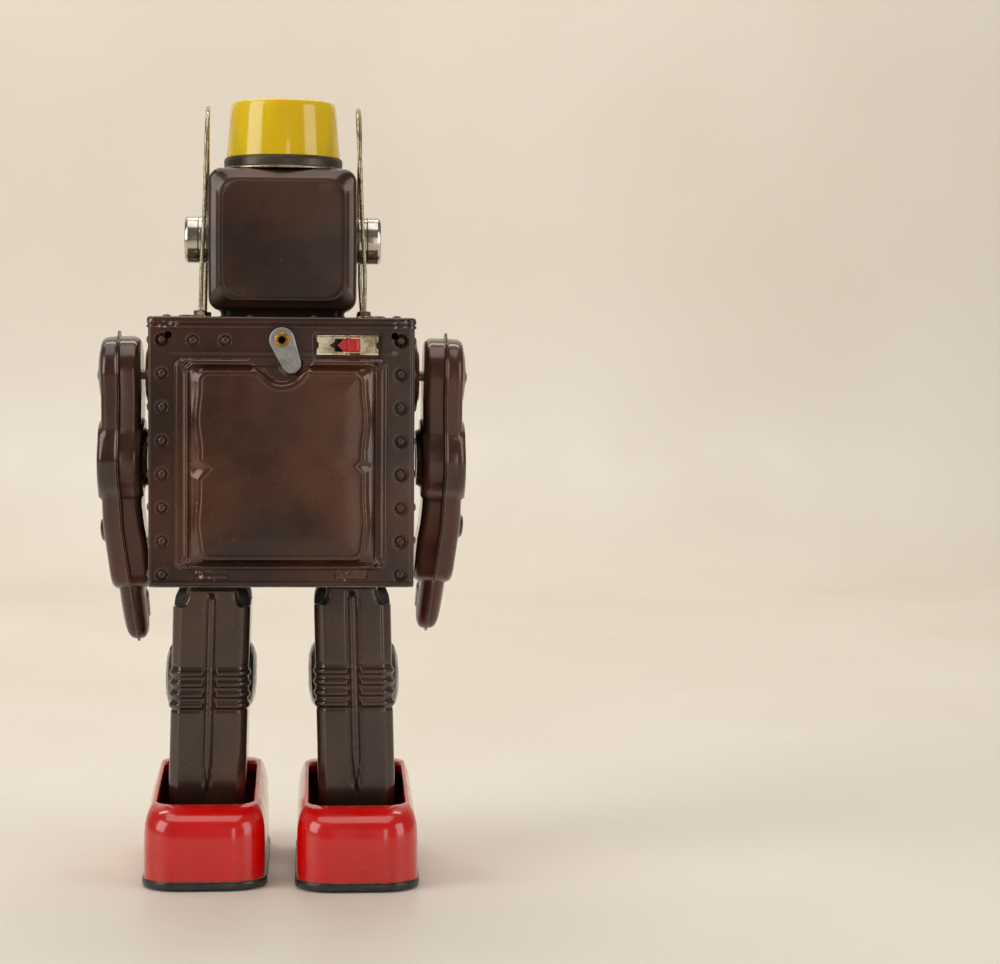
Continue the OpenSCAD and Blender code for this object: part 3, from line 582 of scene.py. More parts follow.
edge_x = HALF_W - 1.5 + 1.5 * np.sin(np.radians(np.linspace(0, 88, 9)))
mid_x = np.linspace(-(HALF_W - 1.5), HALF_W - 1.5, 250)
xs = np.r_[-edge_x[::-1][:-1], mid_x, edge_x[1:]]
piece("tin_back", sheet(xs, np.linspace(114.6, 215.8, 260), panel_keep, panel_height, 0.6), brown, "body", ["back_panel"])


def rivet(at, axis, flip, r=1.6, h=0.95):
    a = np.linspace(0, 88, 8)
    prof = [(r + 1.1, -0.05), (r + 0.8, 0.04), (r + 0.25, 0.1)]
    prof += [(r * math.cos(math.radians(t)), 0.12 + (h - 0.12) * math.sin(math.radians(t))) for t in a]
    return lathe(prof, 24, axis, at, flip)


def shell_solid():
    """The U of front and sides, from one open profile with thickness."""
    path = rrect(100.4, 66, 3, 8, 60) + (0, 2)
    start = np.argmin(np.abs(path[:, 0] + 50.2) + np.abs(path[:, 1] - 33.6))
    path = np.roll(path, -start, axis=0)
    path = path[: np.argmin(np.abs(path[:, 0] - 50.2) + np.abs(path[:, 1] - 33.6)) + 1]
    tang = np.gradient(path, axis=0)
    tang /= np.linalg.norm(tang, axis=1)[:, None]
    out = np.c_[tang[:, 1], -tang[:, 0]]
    if (out[len(out) // 2] @ np.array([0, -1])) < 0:
        out = -out
    s = np.r_[0, np.cumsum(np.linalg.norm(np.diff(path, axis=0), axis=1))]

    def place(u, h, v):
        px, py = np.interp(u, s, path[:, 0]), np.interp(u, s, path[:, 1])
        nx, ny = np.interp(u, s, out[:, 0]), np.interp(u, s, out[:, 1])
        return np.stack([px + nx * h, py + ny * h, v], -1)

    def keep(u, v):
        return np.maximum(np.maximum(-u, u - s[-1]), np.maximum(114.5 - v, v - 215.8))

    def height(u, v):
        h = -0.06 + 0.05 * np.sin(v * 0.06) * np.sin(u * 0.05)
        h = h + 0.25 * np.exp(-((v - 115.7) / 0.45) ** 2)
        # A shallow stamped frame on each side wall and on the front.
        x, y = np.interp(u, s, path[:, 0]), np.interp(u, s, path[:, 1])
        side = rrect_sdf(y - 1.5, v - 152.5, 47, 56, 6)
        front = rrect_sdf(x, v - 170, 76, 66, 6)
        for d, on in ((side, np.abs(x) > 49.5), (front, y < -30.2)):
            h = h + np.where(on, 0.55 * np.exp(-((d + 1.4) / 0.9) ** 2), 0)
        return h

    us = np.unique(np.r_[s, np.linspace(0, s[-1], 330)])
    return sheet(us, np.linspace(114.5, 215.8, 150), keep, height, 0.6, place)


parts = [shell_solid()]
for sx in (-1, 1):
    for z in RIVET_Z:
        parts.append(rivet((sx * 50.15, 29.0, z), "x", sx))
        parts.append(rivet((sx * 44.5, -30.95, z), "y", -1))
piece("tin_shell", joined(*parts), brown, "body", ["body_shell"])


def lid():
    """Pressed lid: rolled lower lip, rounded shoulder, and a shallow step round the head seat."""
    rows = [  # half widths grow from the inner skirt round the lip and over the top
        (100.6, 66.2, 2.6, 212.6), (100.8, 66.4, 2.7, 212.2), (101.3, 66.9, 3.0, 212.1),
        (101.7, 67.3, 3.3, 212.3), (101.8, 67.4, 3.4, 212.7), (101.7, 67.3, 3.4, 213.1),
        (101.0, 66.6, 3.2, 213.3), (100.9, 66.5, 3.2, 213.7), (101.5, 67.1, 3.4, 213.95),
        (101.7, 67.3, 3.5, 214.6), (101.6, 67.2, 3.5, 215.3), (101.2, 66.8, 3.4, 215.85),
        (100.5, 66.1, 3.1, 216.25), (99.6, 65.2, 2.8, 216.38), (98.2, 63.8, 2.6, 216.38),
        (97.4, 63.0, 2.5, 216.28), (96.6, 62.2, 2.4, 216.1), (95.4, 61.0, 2.4, 216.1), (94.4, 60.0, 2.4, 216.3),
        (93.6, 59.2, 2.4, 216.38), (75, 50, 3, 216.34), (56, 44, 3, 216.3), (40, 30, 3, 216.3),
        (31, 21, 3, 216.3), (30, 20, 3, 216.2), (30, 20, 3, 215.8), (60, 45, 3, 215.8),
        (100.4, 66.0, 2.5, 215.8)]
    rings = []
    for w, d, r, z in rows:
        p = rrect(w, d, r, 8, 30)
        rings.append(np.c_[p[:, 0], p[:, 1] + 2, np.full(len(p), z)])
    return loft(rings, wrap=True)


parts = [lid()]
for x, y in [(s * 43.5, yy) for s in (-1, 1) for yy in (30.2, -26.2)] + [(s * 12, 30.8) for s in (-1, 1)]:
    parts.append(rivet((x, y, 216.2), "z", 1, 1.7, 1.0))
piece("tin_lid", joined(*parts), brown_lid, "body", ["top_lid"])


def side_disc():
    prof = fillet([(2.4, 3.3), (5.4, 3.3), (6.0, 2.7), (8.8, 3.3), (9.4, 3.25), (12.6, 2.1), (13.0, 2.4), (13.8, 2.3),
                   (15.0, 1.0), (16.5, 0.9), (16.5, 0.0), (2.4, 0.0)], 0.35, 3)
    return lathe(np.vstack([prof, prof[:1]]), 96, "x", (50.2, SHOULDER[1], SHOULDER[2]))


piece("shoulder_rosette_left", side_disc(), litho, "body", ["side_disc_left"])
piece("shoulder_rosette_right", mirrored(side_disc()), litho, "body", ["side_disc_right"])


def chest():
    """Front plate: stepped border and five raised louvres."""
    def keep(x, z):
        s = rrect_sdf(x, z - 170, 62, 52, 5)
        for i in range(-2, 3):
            s = np.maximum(s, -rrect_sdf(x, z - 170 - 7 * i + 1.1, 40, 1.1, 0.5))
        return s

    def height(x, z):
        d = rrect_sdf(x, z - 170, 62, 52, 5)
        h = 0.75 + 1.0 * smooth(-3.2, -4.6, d) - 0.35 * smooth(-0.7, 0.0, d)
        for i in range(-2, 3):
            lx = smooth(21.5, 19.5, np.abs(x))
            t = (z - (170 + 7 * i)) / 2.4
            h = h + 1.0 * lx * np.where(np.abs(t) < 1, np.sqrt(np.clip(1 - t * t, 0, 1)), 0)
        return h - 0.25 * np.exp(-((d + 2.4) / 0.5) ** 2)

    return sheet(np.linspace(-31.5, 31.5, 170), np.linspace(143.5, 196.5, 190), keep, height, 0.6,
                 lambda u, h, v: np.stack([u, -31.05 - h, v], -1))


piece("chest_louvres", chest(), metal("chest_tin", "grey_tin", lin(176, 168, 148), lin(128, 112, 88), 0.24, 0.16, 70),
      "body", ["chest_plate"])

# ---- battery bay ----


def bay_path():
    """Inner face of the trough, from one mouth edge round the back to the other."""
    p = rrect(76, 65, 14.5, 16, 24) + (0, 34.4)
    p = p[p[:, 1] < 34.41]
    p = p[np.argsort(np.arctan2(p[:, 1] - 34.5, p[:, 0]))]
    return p if p[0, 0] < p[-1, 0] else p[::-1]


def bay():
    path = bay_path()
    s = np.r_[0, np.cumsum(np.linalg.norm(np.diff(path, axis=0), axis=1))]
    tang = np.gradient(path, axis=0)
    tang /= np.linalg.norm(tang, axis=1)[:, None]
    into = np.c_[-tang[:, 1], tang[:, 0]]
    if into[len(into) // 2, 1] < 0:
        into = -into

    def place(u, h, v):
        px, py = np.interp(u, s, path[:, 0]), np.interp(u, s, path[:, 1])
        nx, ny = np.interp(u, s, into[:, 0]), np.interp(u, s, into[:, 1])
        return np.stack([px + nx * h, py + ny * h, v], -1)

    def keep(u, v):
        k = np.maximum(np.maximum(-u, u - s[-1]), np.maximum(124.4 - v, v - 198.4))
        for sx in (-1, 1):
            k = np.maximum(k, -rrect_sdf(u - s[-1] / 2 - sx * 17.5, v - 143, 8.4, 5.4, 2.6))
        return k

    def height(u, v):
        side = smooth(20, 27, np.abs(u - s[-1] / 2))
        h = 0.0 * u
        for z in (131, 139, 186, 194):
            h = h + 0.32 * np.exp(-((v - z) / 0.7) ** 2) * side
        for z in (134, 189):
            h = h + 0.18 * np.exp(-((v - z) / 0.5) ** 2)
        for sx in (-1, 1):
            d = rrect_sdf(u - s[-1] / 2 - sx * 17.5, v - 143, 8.4, 5.4, 2.6)
            h = h - 0.45 * smooth(1.2, 0.0, d)
        return h + 0.0

    us = np.unique(np.r_[s, np.linspace(0, s[-1], 250)])
    wall = sheet(us, np.linspace(124.4, 198.4, 180), keep, height, 0.45, place)
    ends = []
    for z, t in ((124.25, 0.5), (198.55, -0.5)):
        def cap(x, y):
            k = rrect_sdf(x, y - 34.4, 76.8, 65.8, 15)
            k = np.maximum(k, y - 34.2)
            for sx in (-1, 1):
                k = np.maximum(k, -rrect_sdf(x - sx * 17.5, y - 27.5, 12, 3.0, 0.8))
                k = np.maximum(k, -rrect_sdf(x - sx * 17.5, y - 10.0, 5, 2.2, 0.6))
            return k
        ends.append(sheet(np.linspace(-38.6, 38.6, 120), np.linspace(1.3, 34.3, 56), cap, lambda x, y: x * 0, 0.45,
                          lambda u, h, v, z=z: np.stack([u, v, z + h], -1)))
    return joined(wall, *ends)


piece("battery_trough", bay(), cream_mat, "body", ["battery_box"])


def ribbon(points, closed=True, w=0.32, y=2.06):
    """A printed line: a thin strip on the back wall of the bay."""
    p = np.asarray(points, float)
    t = np.roll(p, -1, 0) - np.roll(p, 1, 0)
    t /= np.maximum(np.linalg.norm(t, axis=1), 1e-9)[:, None]
    n = np.c_[-t[:, 1], t[:, 0]] * w / 2
    rows = [np.c_[q[:, 0], np.full(len(p), yy), q[:, 1]] for q, yy in ((p - n, y), (p + n, y), (p + n, y + .05), (p - n, y + .05))]
    v = np.vstack(rows)
    k = len(p)
    f = []
    for i in range(k):
        j = (i + 1) % k
        f += [(a * k + i, a * k + j, b * k + j, b * k + i) for a, b in ((0, 1), (1, 2), (2, 3), (3, 0))]
    return v, f


def cell_print():
    """Outline of two cells, one upright and one inverted, with plain plus and minus marks."""
    out = []
    for x, up in ((17.5, -1), (-17.5, 1)):
        z0 = 165.5
        at = lambda pts: np.c_[x + pts[:, 0], z0 + up * pts[:, 1]]
        out.append(ribbon(at(rrect(19, 26, 1.6, 5, 8))))
        out.append(ribbon(at(rrect(18.8, 0.02, 0.01, 1, 8) + (0, 11.4)), w=0.25))
        out.append(ribbon(at(rrect(18.8, 0.02, 0.01, 1, 8) + (0, -11.4)), w=0.25))
        out.append(ribbon(at(rrect(5.4, 2.4, 0.8, 4, 3) + (0, 14.2))))
        out.append(ribbon(at(rrect(4.6, 0.02, 0.01, 1, 3) + (0, 5.4)), w=0.9))
        out.append(ribbon(at(rrect(0.02, 4.6, 0.01, 1, 3) + (0, 5.4)), w=0.9))
        out.append(ribbon(at(rrect(4.6, 0.02, 0.01, 1, 3) + (0, -5.4)), w=0.9))
    return joined(*out)


piece("cell_outlines", cell_print(), ink, "body")

# ---- battery door ----

DZ0, DZ1 = 120.6, 200.6
DZC = (DZ0 + DZ1) / 2
LA = math.radians(21.5)
TIP = (-9.5 * math.sin(LA), 207.7 - 9.5 * math.cos(LA))


def door_keep(x, z):
    s = rrect_sdf(x, z - DZC, 80.4, DZ1 - DZ0, 2.7)
    s = np.maximum(s, 4.1 - np.hypot(x - TIP[0], z - TIP[1]))
    return np.maximum(s, -rrect_sdf(x - TIP[0], z - TIP[1] - 5, 8.2, 10, 0.4))


def door_field_sdf(x, z):
    """Distance to the raised field, with its scooped top, side nicks and wavy edges."""
    zc = (124.8 + 195.7) / 2
    wave = 0.45 * np.cos((z - zc) * 0.17) + 0.25 * np.sin(z * 0.31)
    s = rrect_sdf(x * (31.2 / (31.4 - wave)), z - zc, 62.4, 70.9, 4.2)
    scoop = 9.4 - np.hypot(x, z - 199.4)
    s = np.where(scoop > -9, np.maximum(s, scoop) + 0.35 * np.exp(-((s - scoop) / 1.2) ** 2), s)
    zn = 159.6
    for sx, deep in ((1, 3.4), (-1, 2.3)):
        edge = 31.2 - sx * x
        nick = (deep - edge) - 0.95 * np.abs(z - zn + 0.6 * sx)
        s = np.maximum(s, nick * 0.75)
    return s


def door_height(x, z):
    base = 35.8
    do = -rrect_sdf(x, z - DZC, 80.4, DZ1 - DZ0, 3.2)
    di = rrect_sdf(x, z - DZC + 0.35, 69.4, DZ1 - DZ0 - 5.4, 2.4)
    df = door_field_sdf(x, z)
    t = np.clip(do / np.maximum(do + np.maximum(di, 0), 1e-6), 0, 1)
    frame_h = 1.45 * np.sin(np.pi * (0.12 + 0.76 * t)) ** 0.55
    wall = smooth(0.9, -0.15, di)
    corner = np.exp(-((np.abs(np.abs(x) - 35.5) ** 2 + np.abs(np.abs(z - DZC) - 38) ** 2) / 5.0))
    frame_h = frame_h - 0.3 * corner * (1 + np.sin((np.abs(x) + np.abs(z - DZC)) * 4.2))
    lip = 0.55 * smooth(1.0, 0.0, do)
    u = np.clip(-di / np.maximum(-di + np.maximum(df, 0), 1e-6), 0, 1)
    ramp = 0.1 + 2.25 * np.clip(u * 1.04, 0, 1) ** 1.1
    ramp = ramp - 0.12 * np.exp(-((u - 0.5) / 0.22) ** 2)
    top = 2.42 + 0.16 * smooth(0, -9, df) + 0.1 * np.exp(-((df + 0.9) / 0.5) ** 2)
    in_scoop = smooth(12.5, 10.8, np.hypot(x, z - 199.4))
    dished = 0.2 + 2.25 * smooth(2.6, -0.2, df)
    ramp = ramp * (1 - in_scoop) + dished * in_scoop
    field = np.where(df < 0, top, ramp)
    scoop_ring = np.abs(np.hypot(x, z - 199.4) - 10.4)
    field = field + 0.16 * np.exp(-(scoop_ring / 0.45) ** 2) * smooth(1.5, -0.5, df) * (z > 188)
    h = np.where(di > 0, frame_h * (1 - wall) + 0.12 * wall, 0)
    h = np.where(di <= 0, np.maximum(field * smooth(0.35, -0.5, di), 0.12), h)
    h = h - lip
    h = h + 0.05 * np.sin(x * 0.09 + 1) * np.sin(z * 0.08) * (df < 0)
    near = np.minimum(np.hypot(x - TIP[0], z - TIP[1]), np.abs(x - TIP[0]) + 50 * (z < TIP[1]))
    h = h * smooth(4.1, 5.0, near) + (1 - smooth(4.1, 5.0, near)) * np.minimum(h, 0.05)
    swept = smooth(14.9, 14.1, np.hypot(x, z - 207.7))
    return base + h - swept * np.maximum(base + h - 36.25, 0)


def door():
    xs = np.linspace(-40.4, 40.4, 300)
    zs = np.linspace(DZ0 - 0.2, DZ1 + 0.2, 298)
    parts = [sheet(xs, zs, door_keep, door_height, 0.5)]
    for sx in (-1, 1):
        prof = fillet([(35.45, 121.6), (35.45, 118.6), (34.75, 118.3), (34.65, 117.4), (35.3, 116.95), (36.0, 117.3),
                       (36.05, 118.4), (35.95, 119.2), (35.95, 121.6)], 0.4, 3)
        rings = [np.c_[np.full(len(prof), sx * 26.2 + dx), prof] for dx in (-5.7, -5.5, 5.5, 5.7)]
        rings[0][:, 1:] = rings[0][:, 1:] * 0.985 + prof.mean(0) * 0.015
        rings[-1][:, 1:] = rings[-1][:, 1:] * 0.985 + prof.mean(0) * 0.015
        parts.append(loft(rings))
    return joined(*parts)


piece("door_skin", door(), brown_door, "door", ["battery_door"])

# ---- latch, eyelet, switch ----


def latch():
    ca, sa = math.cos(LA), math.sin(LA)

    def keep(u, v):
        # u across, v down from the pivot; a tapered capsule
        a = np.hypot(u, v) - 4.8
        b = np.hypot(u, v - 9.5) - 3.7
        side = (np.abs(u) - (4.8 - 1.1 * v / 9.5)) * 0.993
        mid = np.maximum(side, np.maximum(-v, v - 9.5))
        s = np.minimum(np.minimum(a, b), mid)
        return np.maximum(s, 1.78 - np.hypot(u, v))

    def height(u, v):
        d = keep(u, v)
        h = 37.28 - 0.3 * smooth(-0.6, 0.0, d)
        grip = smooth(2.6, 4.2, v) * smooth(-0.5, -1.3, d)
        col = np.round(u / 0.75)
        i = np.round((v - 0.5 * (col % 2) * 0.9) / 0.9)
        du, dv = u - col * 0.75, v - (i + 0.5 * (col % 2)) * 0.9
        return h - 0.28 * np.exp(-(du**2 + dv**2) / 0.05) * grip - 0.1 * np.exp(-((np.hypot(u, v) - 3.4) / 0.4) ** 2)

    def place(u, h, v):
        return np.stack([u * ca - v * sa, h, 207.7 - u * sa - v * ca], -1)

    return sheet(np.linspace(-5, 5, 100), np.linspace(-5, 13.4, 184), keep, height, 0.55, place)


piece("latch_lever", latch(), zinc, "latch", ["door_latch"])
eye = fillet([(1.25, 33.2), (1.25, 37.5), (1.6, 38.0), (2.3, 38.05), (2.9, 37.6), (2.85, 37.42), (1.72, 37.4),
              (1.7, 35.0), (1.7, 33.9), (2.9, 33.8), (2.9, 33.2), (1.25, 33.2)], 0.2, 4)
piece("eyelet_ring", lathe(eye, 48, "y", (0, 0, 207.7)), brass, "body", ["latch_eyelet"], weld=0.002)
washer = fillet([(1.8, 35.05), (2.9, 35.05), (2.9, 36.3), (1.8, 36.3), (1.8, 35.05)], 0.1, 2)
piece("eyelet_spacer", lathe(washer, 48, "y", (0, 0, 207.7)), brass, "body", weld=0.002)


def bezel():
    def keep(u, v):
        s = rrect_sdf(u, v, 23.2, 7.5, 0.5)
        s = np.maximum(s, -rrect_sdf(u, v, 9.7, 4.9, 0.4))
        point = np.maximum(np.abs(v) * 0.9 + (u - 6.9) * 0.6, 4.6 - u) * 0.8
        s = np.maximum(s, -point)
        for sx in (-1, 1):
            s = np.maximum(s, 1.9 - np.hypot(u - sx * 12.7, v))
        return s

    def height(u, v):
        h = 35.5 + 0.5 * smooth(2.95, 3.55, np.abs(v)) - 0.25 * smooth(3.6, 3.75, np.abs(v))
        h = h - 0.35 * np.exp(-((np.hypot(u, (np.abs(v) - 3.3)) / 0.75) ** 2))
        h = h + 0.1 * smooth(10.3, 11.2, np.abs(u))
        return h + 0.04 * np.cos(u * 0.5)

    return sheet(np.linspace(-11.7, 11.7, 180), np.linspace(-3.85, 3.85, 76), keep, height, 0.45,
                 lambda u, h, v: np.stack([u - 24.7, h, v + 205.85], -1))


piece("switch_plate", bezel(), metal("switch_nickel", "nickel", lin(214, 204, 178), lin(150, 132, 96), 0.22, 0.16, 170),
      "body", ["switch_bezel"])


def knob():
    block = [(-4.7, 33.0), (-4.7, 36.7), (-4.35, 37.15), (-3.3, 37.2), (-2.35, 36.95), (-1.4, 37.2), (-0.4, 37.15),
             (0.0, 36.7), (0.0, 33.0)]
    block = fillet(block, 0.25, 3)
    body = [np.c_[block[:, 0] - 24.7, block[:, 1], np.full(len(block), 205.85 + z)] for z in (-2.2, -2.05, 2.05, 2.2)]
    for i in (0, -1):
        c = body[i][:, :2].mean(0)
        body[i][:, :2] = c + (body[i][:, :2] - c) * 0.95
    # The slider's lower step shows in the window, drawn to a point.
    tongue = np.array([(-5.6, -2.4), (1.7, -2.3), (3.9, 0), (1.7, 2.3), (-5.6, 2.4)])
    tongue = fillet(np.vstack([tongue, tongue[:1]]), 0.3, 3)[:-1]
    slab = [np.c_[tongue[:, 0] * k - 24.7, np.full(len(tongue), y), tongue[:, 1] * k + 205.85]
            for k, y in ((0.96, 33.2), (1, 33.35), (1, 34.2), (0.96, 34.4))]
    return joined(loft(body), loft(slab))


# A near-black sheet under the switch bezel: painted shade seen through the bezel's openings, where the panel's hole
# looks into the dark body.
window_shade = sheet(np.linspace(-12.3, 12.3, 90), np.linspace(-3.4, 3.4, 40),
               lambda u, v: np.maximum(rrect_sdf(u, v, 24.4, 6.6, 0.6), -rrect_sdf(u, v, 10.2, 5.2, 0.4)),
               lambda u, v: 35.06 + 0 * u, 0.3, lambda u, h, v: np.stack([u - 24.7, h, v + 205.85], -1))
piece("switch_window_shade", window_shade, painted_shade, "body")
piece("switch_slider", knob(), red_plastic, "switch", ["switch_knob"])

# ---- head ----


def head_half(sign):
    """One pressed half of the head: rounded wall, soft bevel band, slightly pillowed face."""
    rows = [  # depth from the seam, width, height, corner radius
        (0.02, 56.2, 53.6, 4.6), (0.02, 57.0, 54.4, 5.0), (6, 57.0, 54.4, 5.0), (14, 57.0, 54.4, 5.0),
        (19.0, 56.9, 54.3, 5.0), (20.8, 56.4, 53.8, 5.0), (21.8, 55.5, 53.0, 5.0), (22.4, 54.4, 52.0, 5.2),
        (23.1, 52.4, 50.2, 5.6), (23.9, 50.2, 48.2, 6.2), (24.5, 48.9, 47.0, 6.7), (24.85, 48.1, 46.2, 7.0),
        (24.92, 47.4, 45.5, 7.0), (24.8, 46.4, 44.5, 7.0), (24.66, 45.2, 43.3, 7.0), (24.66, 44.0, 42.1, 7.0)]
    rows = np.array(rows)
    k = np.linspace(0, 1, len(rows))
    dense = curve(k, rows, np.linspace(0, 1, 90))
    dense = np.vstack([dense, [(24.66 + 0.3 * math.sin(math.pi / 2 * (1 - q)), 44.0 * q, 42.1 * q, 7.0 * q)
                               for q in (0.9, 0.75, 0.55, 0.35, 0.15, 0.02)]])
    rings = []
    for y, w, h, r in dense:
        p = rrect(w, h, r, 10, 26)
        # the skin leans in a little towards the crown and the chin
        bow = 0.25 * np.cos(p[:, 1] / 27 * math.pi / 2)
        x = p[:, 0] + np.sign(p[:, 0]) * (bow - 0.25) * smooth(20, 27, np.abs(p[:, 0]))
        rings.append(np.c_[x, np.full(len(p), 2 + sign * y), p[:, 1] + 246.0])
    return loft(rings)


def neck(sign):
    rows = [(216.3, 50.0, 42.0, 6), (216.6, 48.4, 40.4, 6), (217.3, 47.2, 39.4, 6), (218.2, 47.6, 39.8, 6),
            (219.0, 49.0, 41.0, 6), (219.8, 51.2, 43.2, 6), (221.0, 53.0, 45.0, 5.5)]
    rings = []
    for z, w, d, r in rows:
        p = rrect(w, d, r, 8, 14)
        rings.append(np.c_[p[:, 0], 2 + sign * np.maximum(sign * p[:, 1], 0.02), np.full(len(p), z)])
    return loft(rings)


piece("head_rear_shell", joined(head_half(1), neck(1)), brown_head, "body", ["head_back"])
piece("head_face_shell", joined(head_half(-1), neck(-1)), brown_head, "body", ["head_front"])

for side, sx in (("left", 1), ("right", -1)):
    prof = fillet([(0.01, 4.9), (2.1, 4.9), (2.4, 4.7), (6.9, 4.8), (7.3, 9.0), (7.9, 9.4), (8.5, 9.3), (9.2, 8.2),
                   (9.2, 4.4), (9.0, 3.9), (9.15, 3.4), (9.1, 1.0), (8.7, 0.1), (4.0, -0.3), (4.0, -2.2), (0.01, -2.2)], 0.4, 4)
    cap = lathe(prof, 80, "x", (sx * 28.5, 2, 246.7), sx)
    boss = lathe(fillet([(0.01, 8.6), (1.2, 8.6), (2.2, 8.0), (2.4, 6.0), (2.4, 4.6), (0.01, 4.6)], 0.4, 3), 32, "x",
                 (sx * 28.5, 2, 246.7), sx)
    piece("ear_cap_" + side, joined(cap, boss), nickel, "body", ["ear_" + side], weld=0.001)

collar = fillet([(6.2, 273.4), (23.0, 273.25), (23.55, 273.5), (23.6, 273.95), (23.3, 274.3), (22.9, 274.5), (23.0, 276.9),
                 (22.6, 278.0), (21.9, 278.28), (20.0, 278.2), (6.2, 278.2), (6.2, 273.4)], 0.3, 4)
piece("collar_ring", lathe(collar, 128, "z", (0, 2, 0)), collar_mat, "body", ["dome_collar"], weld=0.002)
lip = fillet([(22.6, 273.3), (23.62, 273.3), (23.74, 273.7), (23.62, 274.1), (22.6, 274.1), (22.6, 273.3)], 0.2, 3)
piece("collar_lip", lathe(lip, 128, "z", (0, 2, 0)), nickel_worn, "body", weld=0.002)

dome_prof = fillet([(0.01, 300.25), (10, 300.2), (17.8, 300.0), (19.9, 299.35), (20.45, 297.6), (21.2, 288.0),
                    (22.0, 278.32), (21.0, 278.32), (20.1, 288.0), (19.2, 296.9), (18.4, 298.3), (17.2, 298.85),
                    (10, 299.1), (0.01, 299.15)], (0, 3, 2.2, 1.0, 1.6, 6, 0.2, 0.2, 6, 1.0, 0.8, 0.8, 3, 0), 6)
piece("lamp_cap", lathe(dome_prof, 144, "z", (0, 2, 0)), yellow, "body", ["dome"], weld=0.001)
bulb = fillet([(0.01, 279.0), (4.6, 279.0), (4.8, 283.0), (4.1, 284.0), (4.7, 286.4), (4.2, 289.6), (2.2, 292.0), (0.01, 292.5)], 0.9, 5)
piece("bulb_glass", lathe(bulb, 48, "z", (0, 2, 0)), glass_mat, "body", ["lamp"], weld=0.001)
base = fillet([(0.01, 266.0), (4.4, 266.0), (5.0, 266.6), (4.6, 267.6), (5.0, 268.6), (4.6, 269.6), (5.0, 270.6), (4.6, 271.6),
               (5.0, 272.6), (5.0, 278.9), (0.01, 278.9)], 0.3, 3)
piece("bulb_base", lathe(base, 48, "z", (0, 2, 0)), brass, "body", weld=0.001)

for i, sx in enumerate((1, -1)):
    glassy = fillet([(0.01, 3.25), (2.4, 3.1), (3.9, 2.6), (4.2, 1.9), (5.4, 1.7), (6.1, 1.2), (6.2, 0.4), (0.01, 0.4)], 0.5, 5)
    piece(f"eye_glass_{i + 1}", lathe(glassy, 72, "y", (sx * 13, -23.15, 253), -1), orange, "body",
          ["eye_lenses"] if sx == 1 else [], weld=0.001)
    rim = fillet([(6.15, 0.05), (8.0, 0.05), (8.0, 0.8), (7.5, 1.4), (6.7, 1.45), (6.2, 0.9), (6.15, 0.05)], 0.25, 4)
    piece(f"eye_rim_{i + 1}", lathe(rim, 72, "y", (sx * 13, -23.0, 253), -1), nickel_worn, "body", weld=0.001)


def grille():
    def keep(u, v):
        s = rrect_sdf(u, v, 28, 10.5, 2.5)
        for i in range(-3, 4):
            s = np.maximum(s, -rrect_sdf(u - 3.1 * i, v, 1.7, 6.0, 0.8))
        return s

    def height(u, v):
        d = rrect_sdf(u, v, 28, 10.5, 2.5)
        h = 0.9 + 0.8 * smooth(-1.4, -2.4, d) - 0.4 * smooth(-0.5, 0.0, d)
        for i in range(-3, 3):
            h = h + 0.35 * np.exp(-((u - 3.1 * (i + 0.5)) / 0.6) ** 2) * smooth(3.6, 2.6, np.abs(v))
        return h

    return sheet(np.linspace(-14.2, 14.2, 160), np.linspace(-5.4, 5.4, 66), keep, height, 0.6,
                 lambda u, h, v: np.stack([u, -22.9 - h, v + 232], -1))


piece("grille_plate", grille(), nickel_worn, "body", ["mouth_grille"])
# A near-black sheet behind the mouth grille: painted shade showing through its slots, where the head is dark inside.
grille_slot_shade = loft([np.c_[(p := rrect(24.5, 7.2, 1.2, 4, 6))[:, 0] * k, np.full(len(p), y), p[:, 1] * k + 232]
                  for k, y in ((0.98, -23.35), (1, -23.3), (1, -22.6), (0.98, -22.55))])
piece("grille_shade_sheet", grille_slot_shade, painted_shade, "body")

# ---- antennae ----


def antenna(sx, twist):
    """A hairpin of wire; twist is how far each leg wanders sideways up its height."""
    half = 19.0
    lean = math.radians(1.5)
    top = (298.2 - 0.8 - half - 216.4) / math.cos(lean)
    side = [(half, z) for z in np.linspace(-1.6, top, 60)]
    arc = [(half * math.cos(a), top + half * math.sin(a)) for a in np.linspace(0, math.pi, 48)[1:-1]]
    pts = side + arc + [(-y, z) for y, z in side[::-1]]
    y, z = np.array(pts).T
    wob = 0.12 * np.sin(z * 0.11) * smooth(4, 30, z)
    x = wob - z * math.sin(lean) + sx * np.interp(z, [0, 14, 57, 84], twist) * y / half
    return tube(np.c_[sx * (31.2 + x), 2 + y, 216.4 + z * math.cos(lean)], 0.8, 16)


piece("antenna_wire_left", antenna(1, (0, 0, -0.5, -0.85)), wire_metal, "body", ["antenna_left"])
piece("antenna_wire_right", antenna(-1, (0, -0.6, 0.1, 1.3)), wire_metal, "body", ["antenna_right"])


def nut(at, turn):
    a = np.radians(np.arange(36) * 10 + turn)
    hexr = lambda r, k: r * (1 + k * (1 / np.cos((np.radians(np.arange(36) * 10) + math.pi / 6) % (math.pi / 3) - math.pi / 6) - 1))
    rows = [(0.9, 0.0, 0.0), (3.15, 0.0, 0.0), (3.2, 0.2, 0.0), (3.15, 0.5, 0.0), (2.5, 0.6, 0.2), (2.25, 0.62, 0.9), (2.25, 1.0, 1.0),
            (2.25, 2.1, 1.0), (2.2, 2.4, 0.5), (1.9, 2.58, 0.0), (1.1, 2.6, 0.0), (0.92, 2.45, 0.0)]
    rings = []
    for r, z, k in rows:
        rr = hexr(r, k)
        rings.append(np.c_[rr * np.cos(a), rr * np.sin(a), np.full(36, z)] + at)
    return loft(rings, wrap=True)


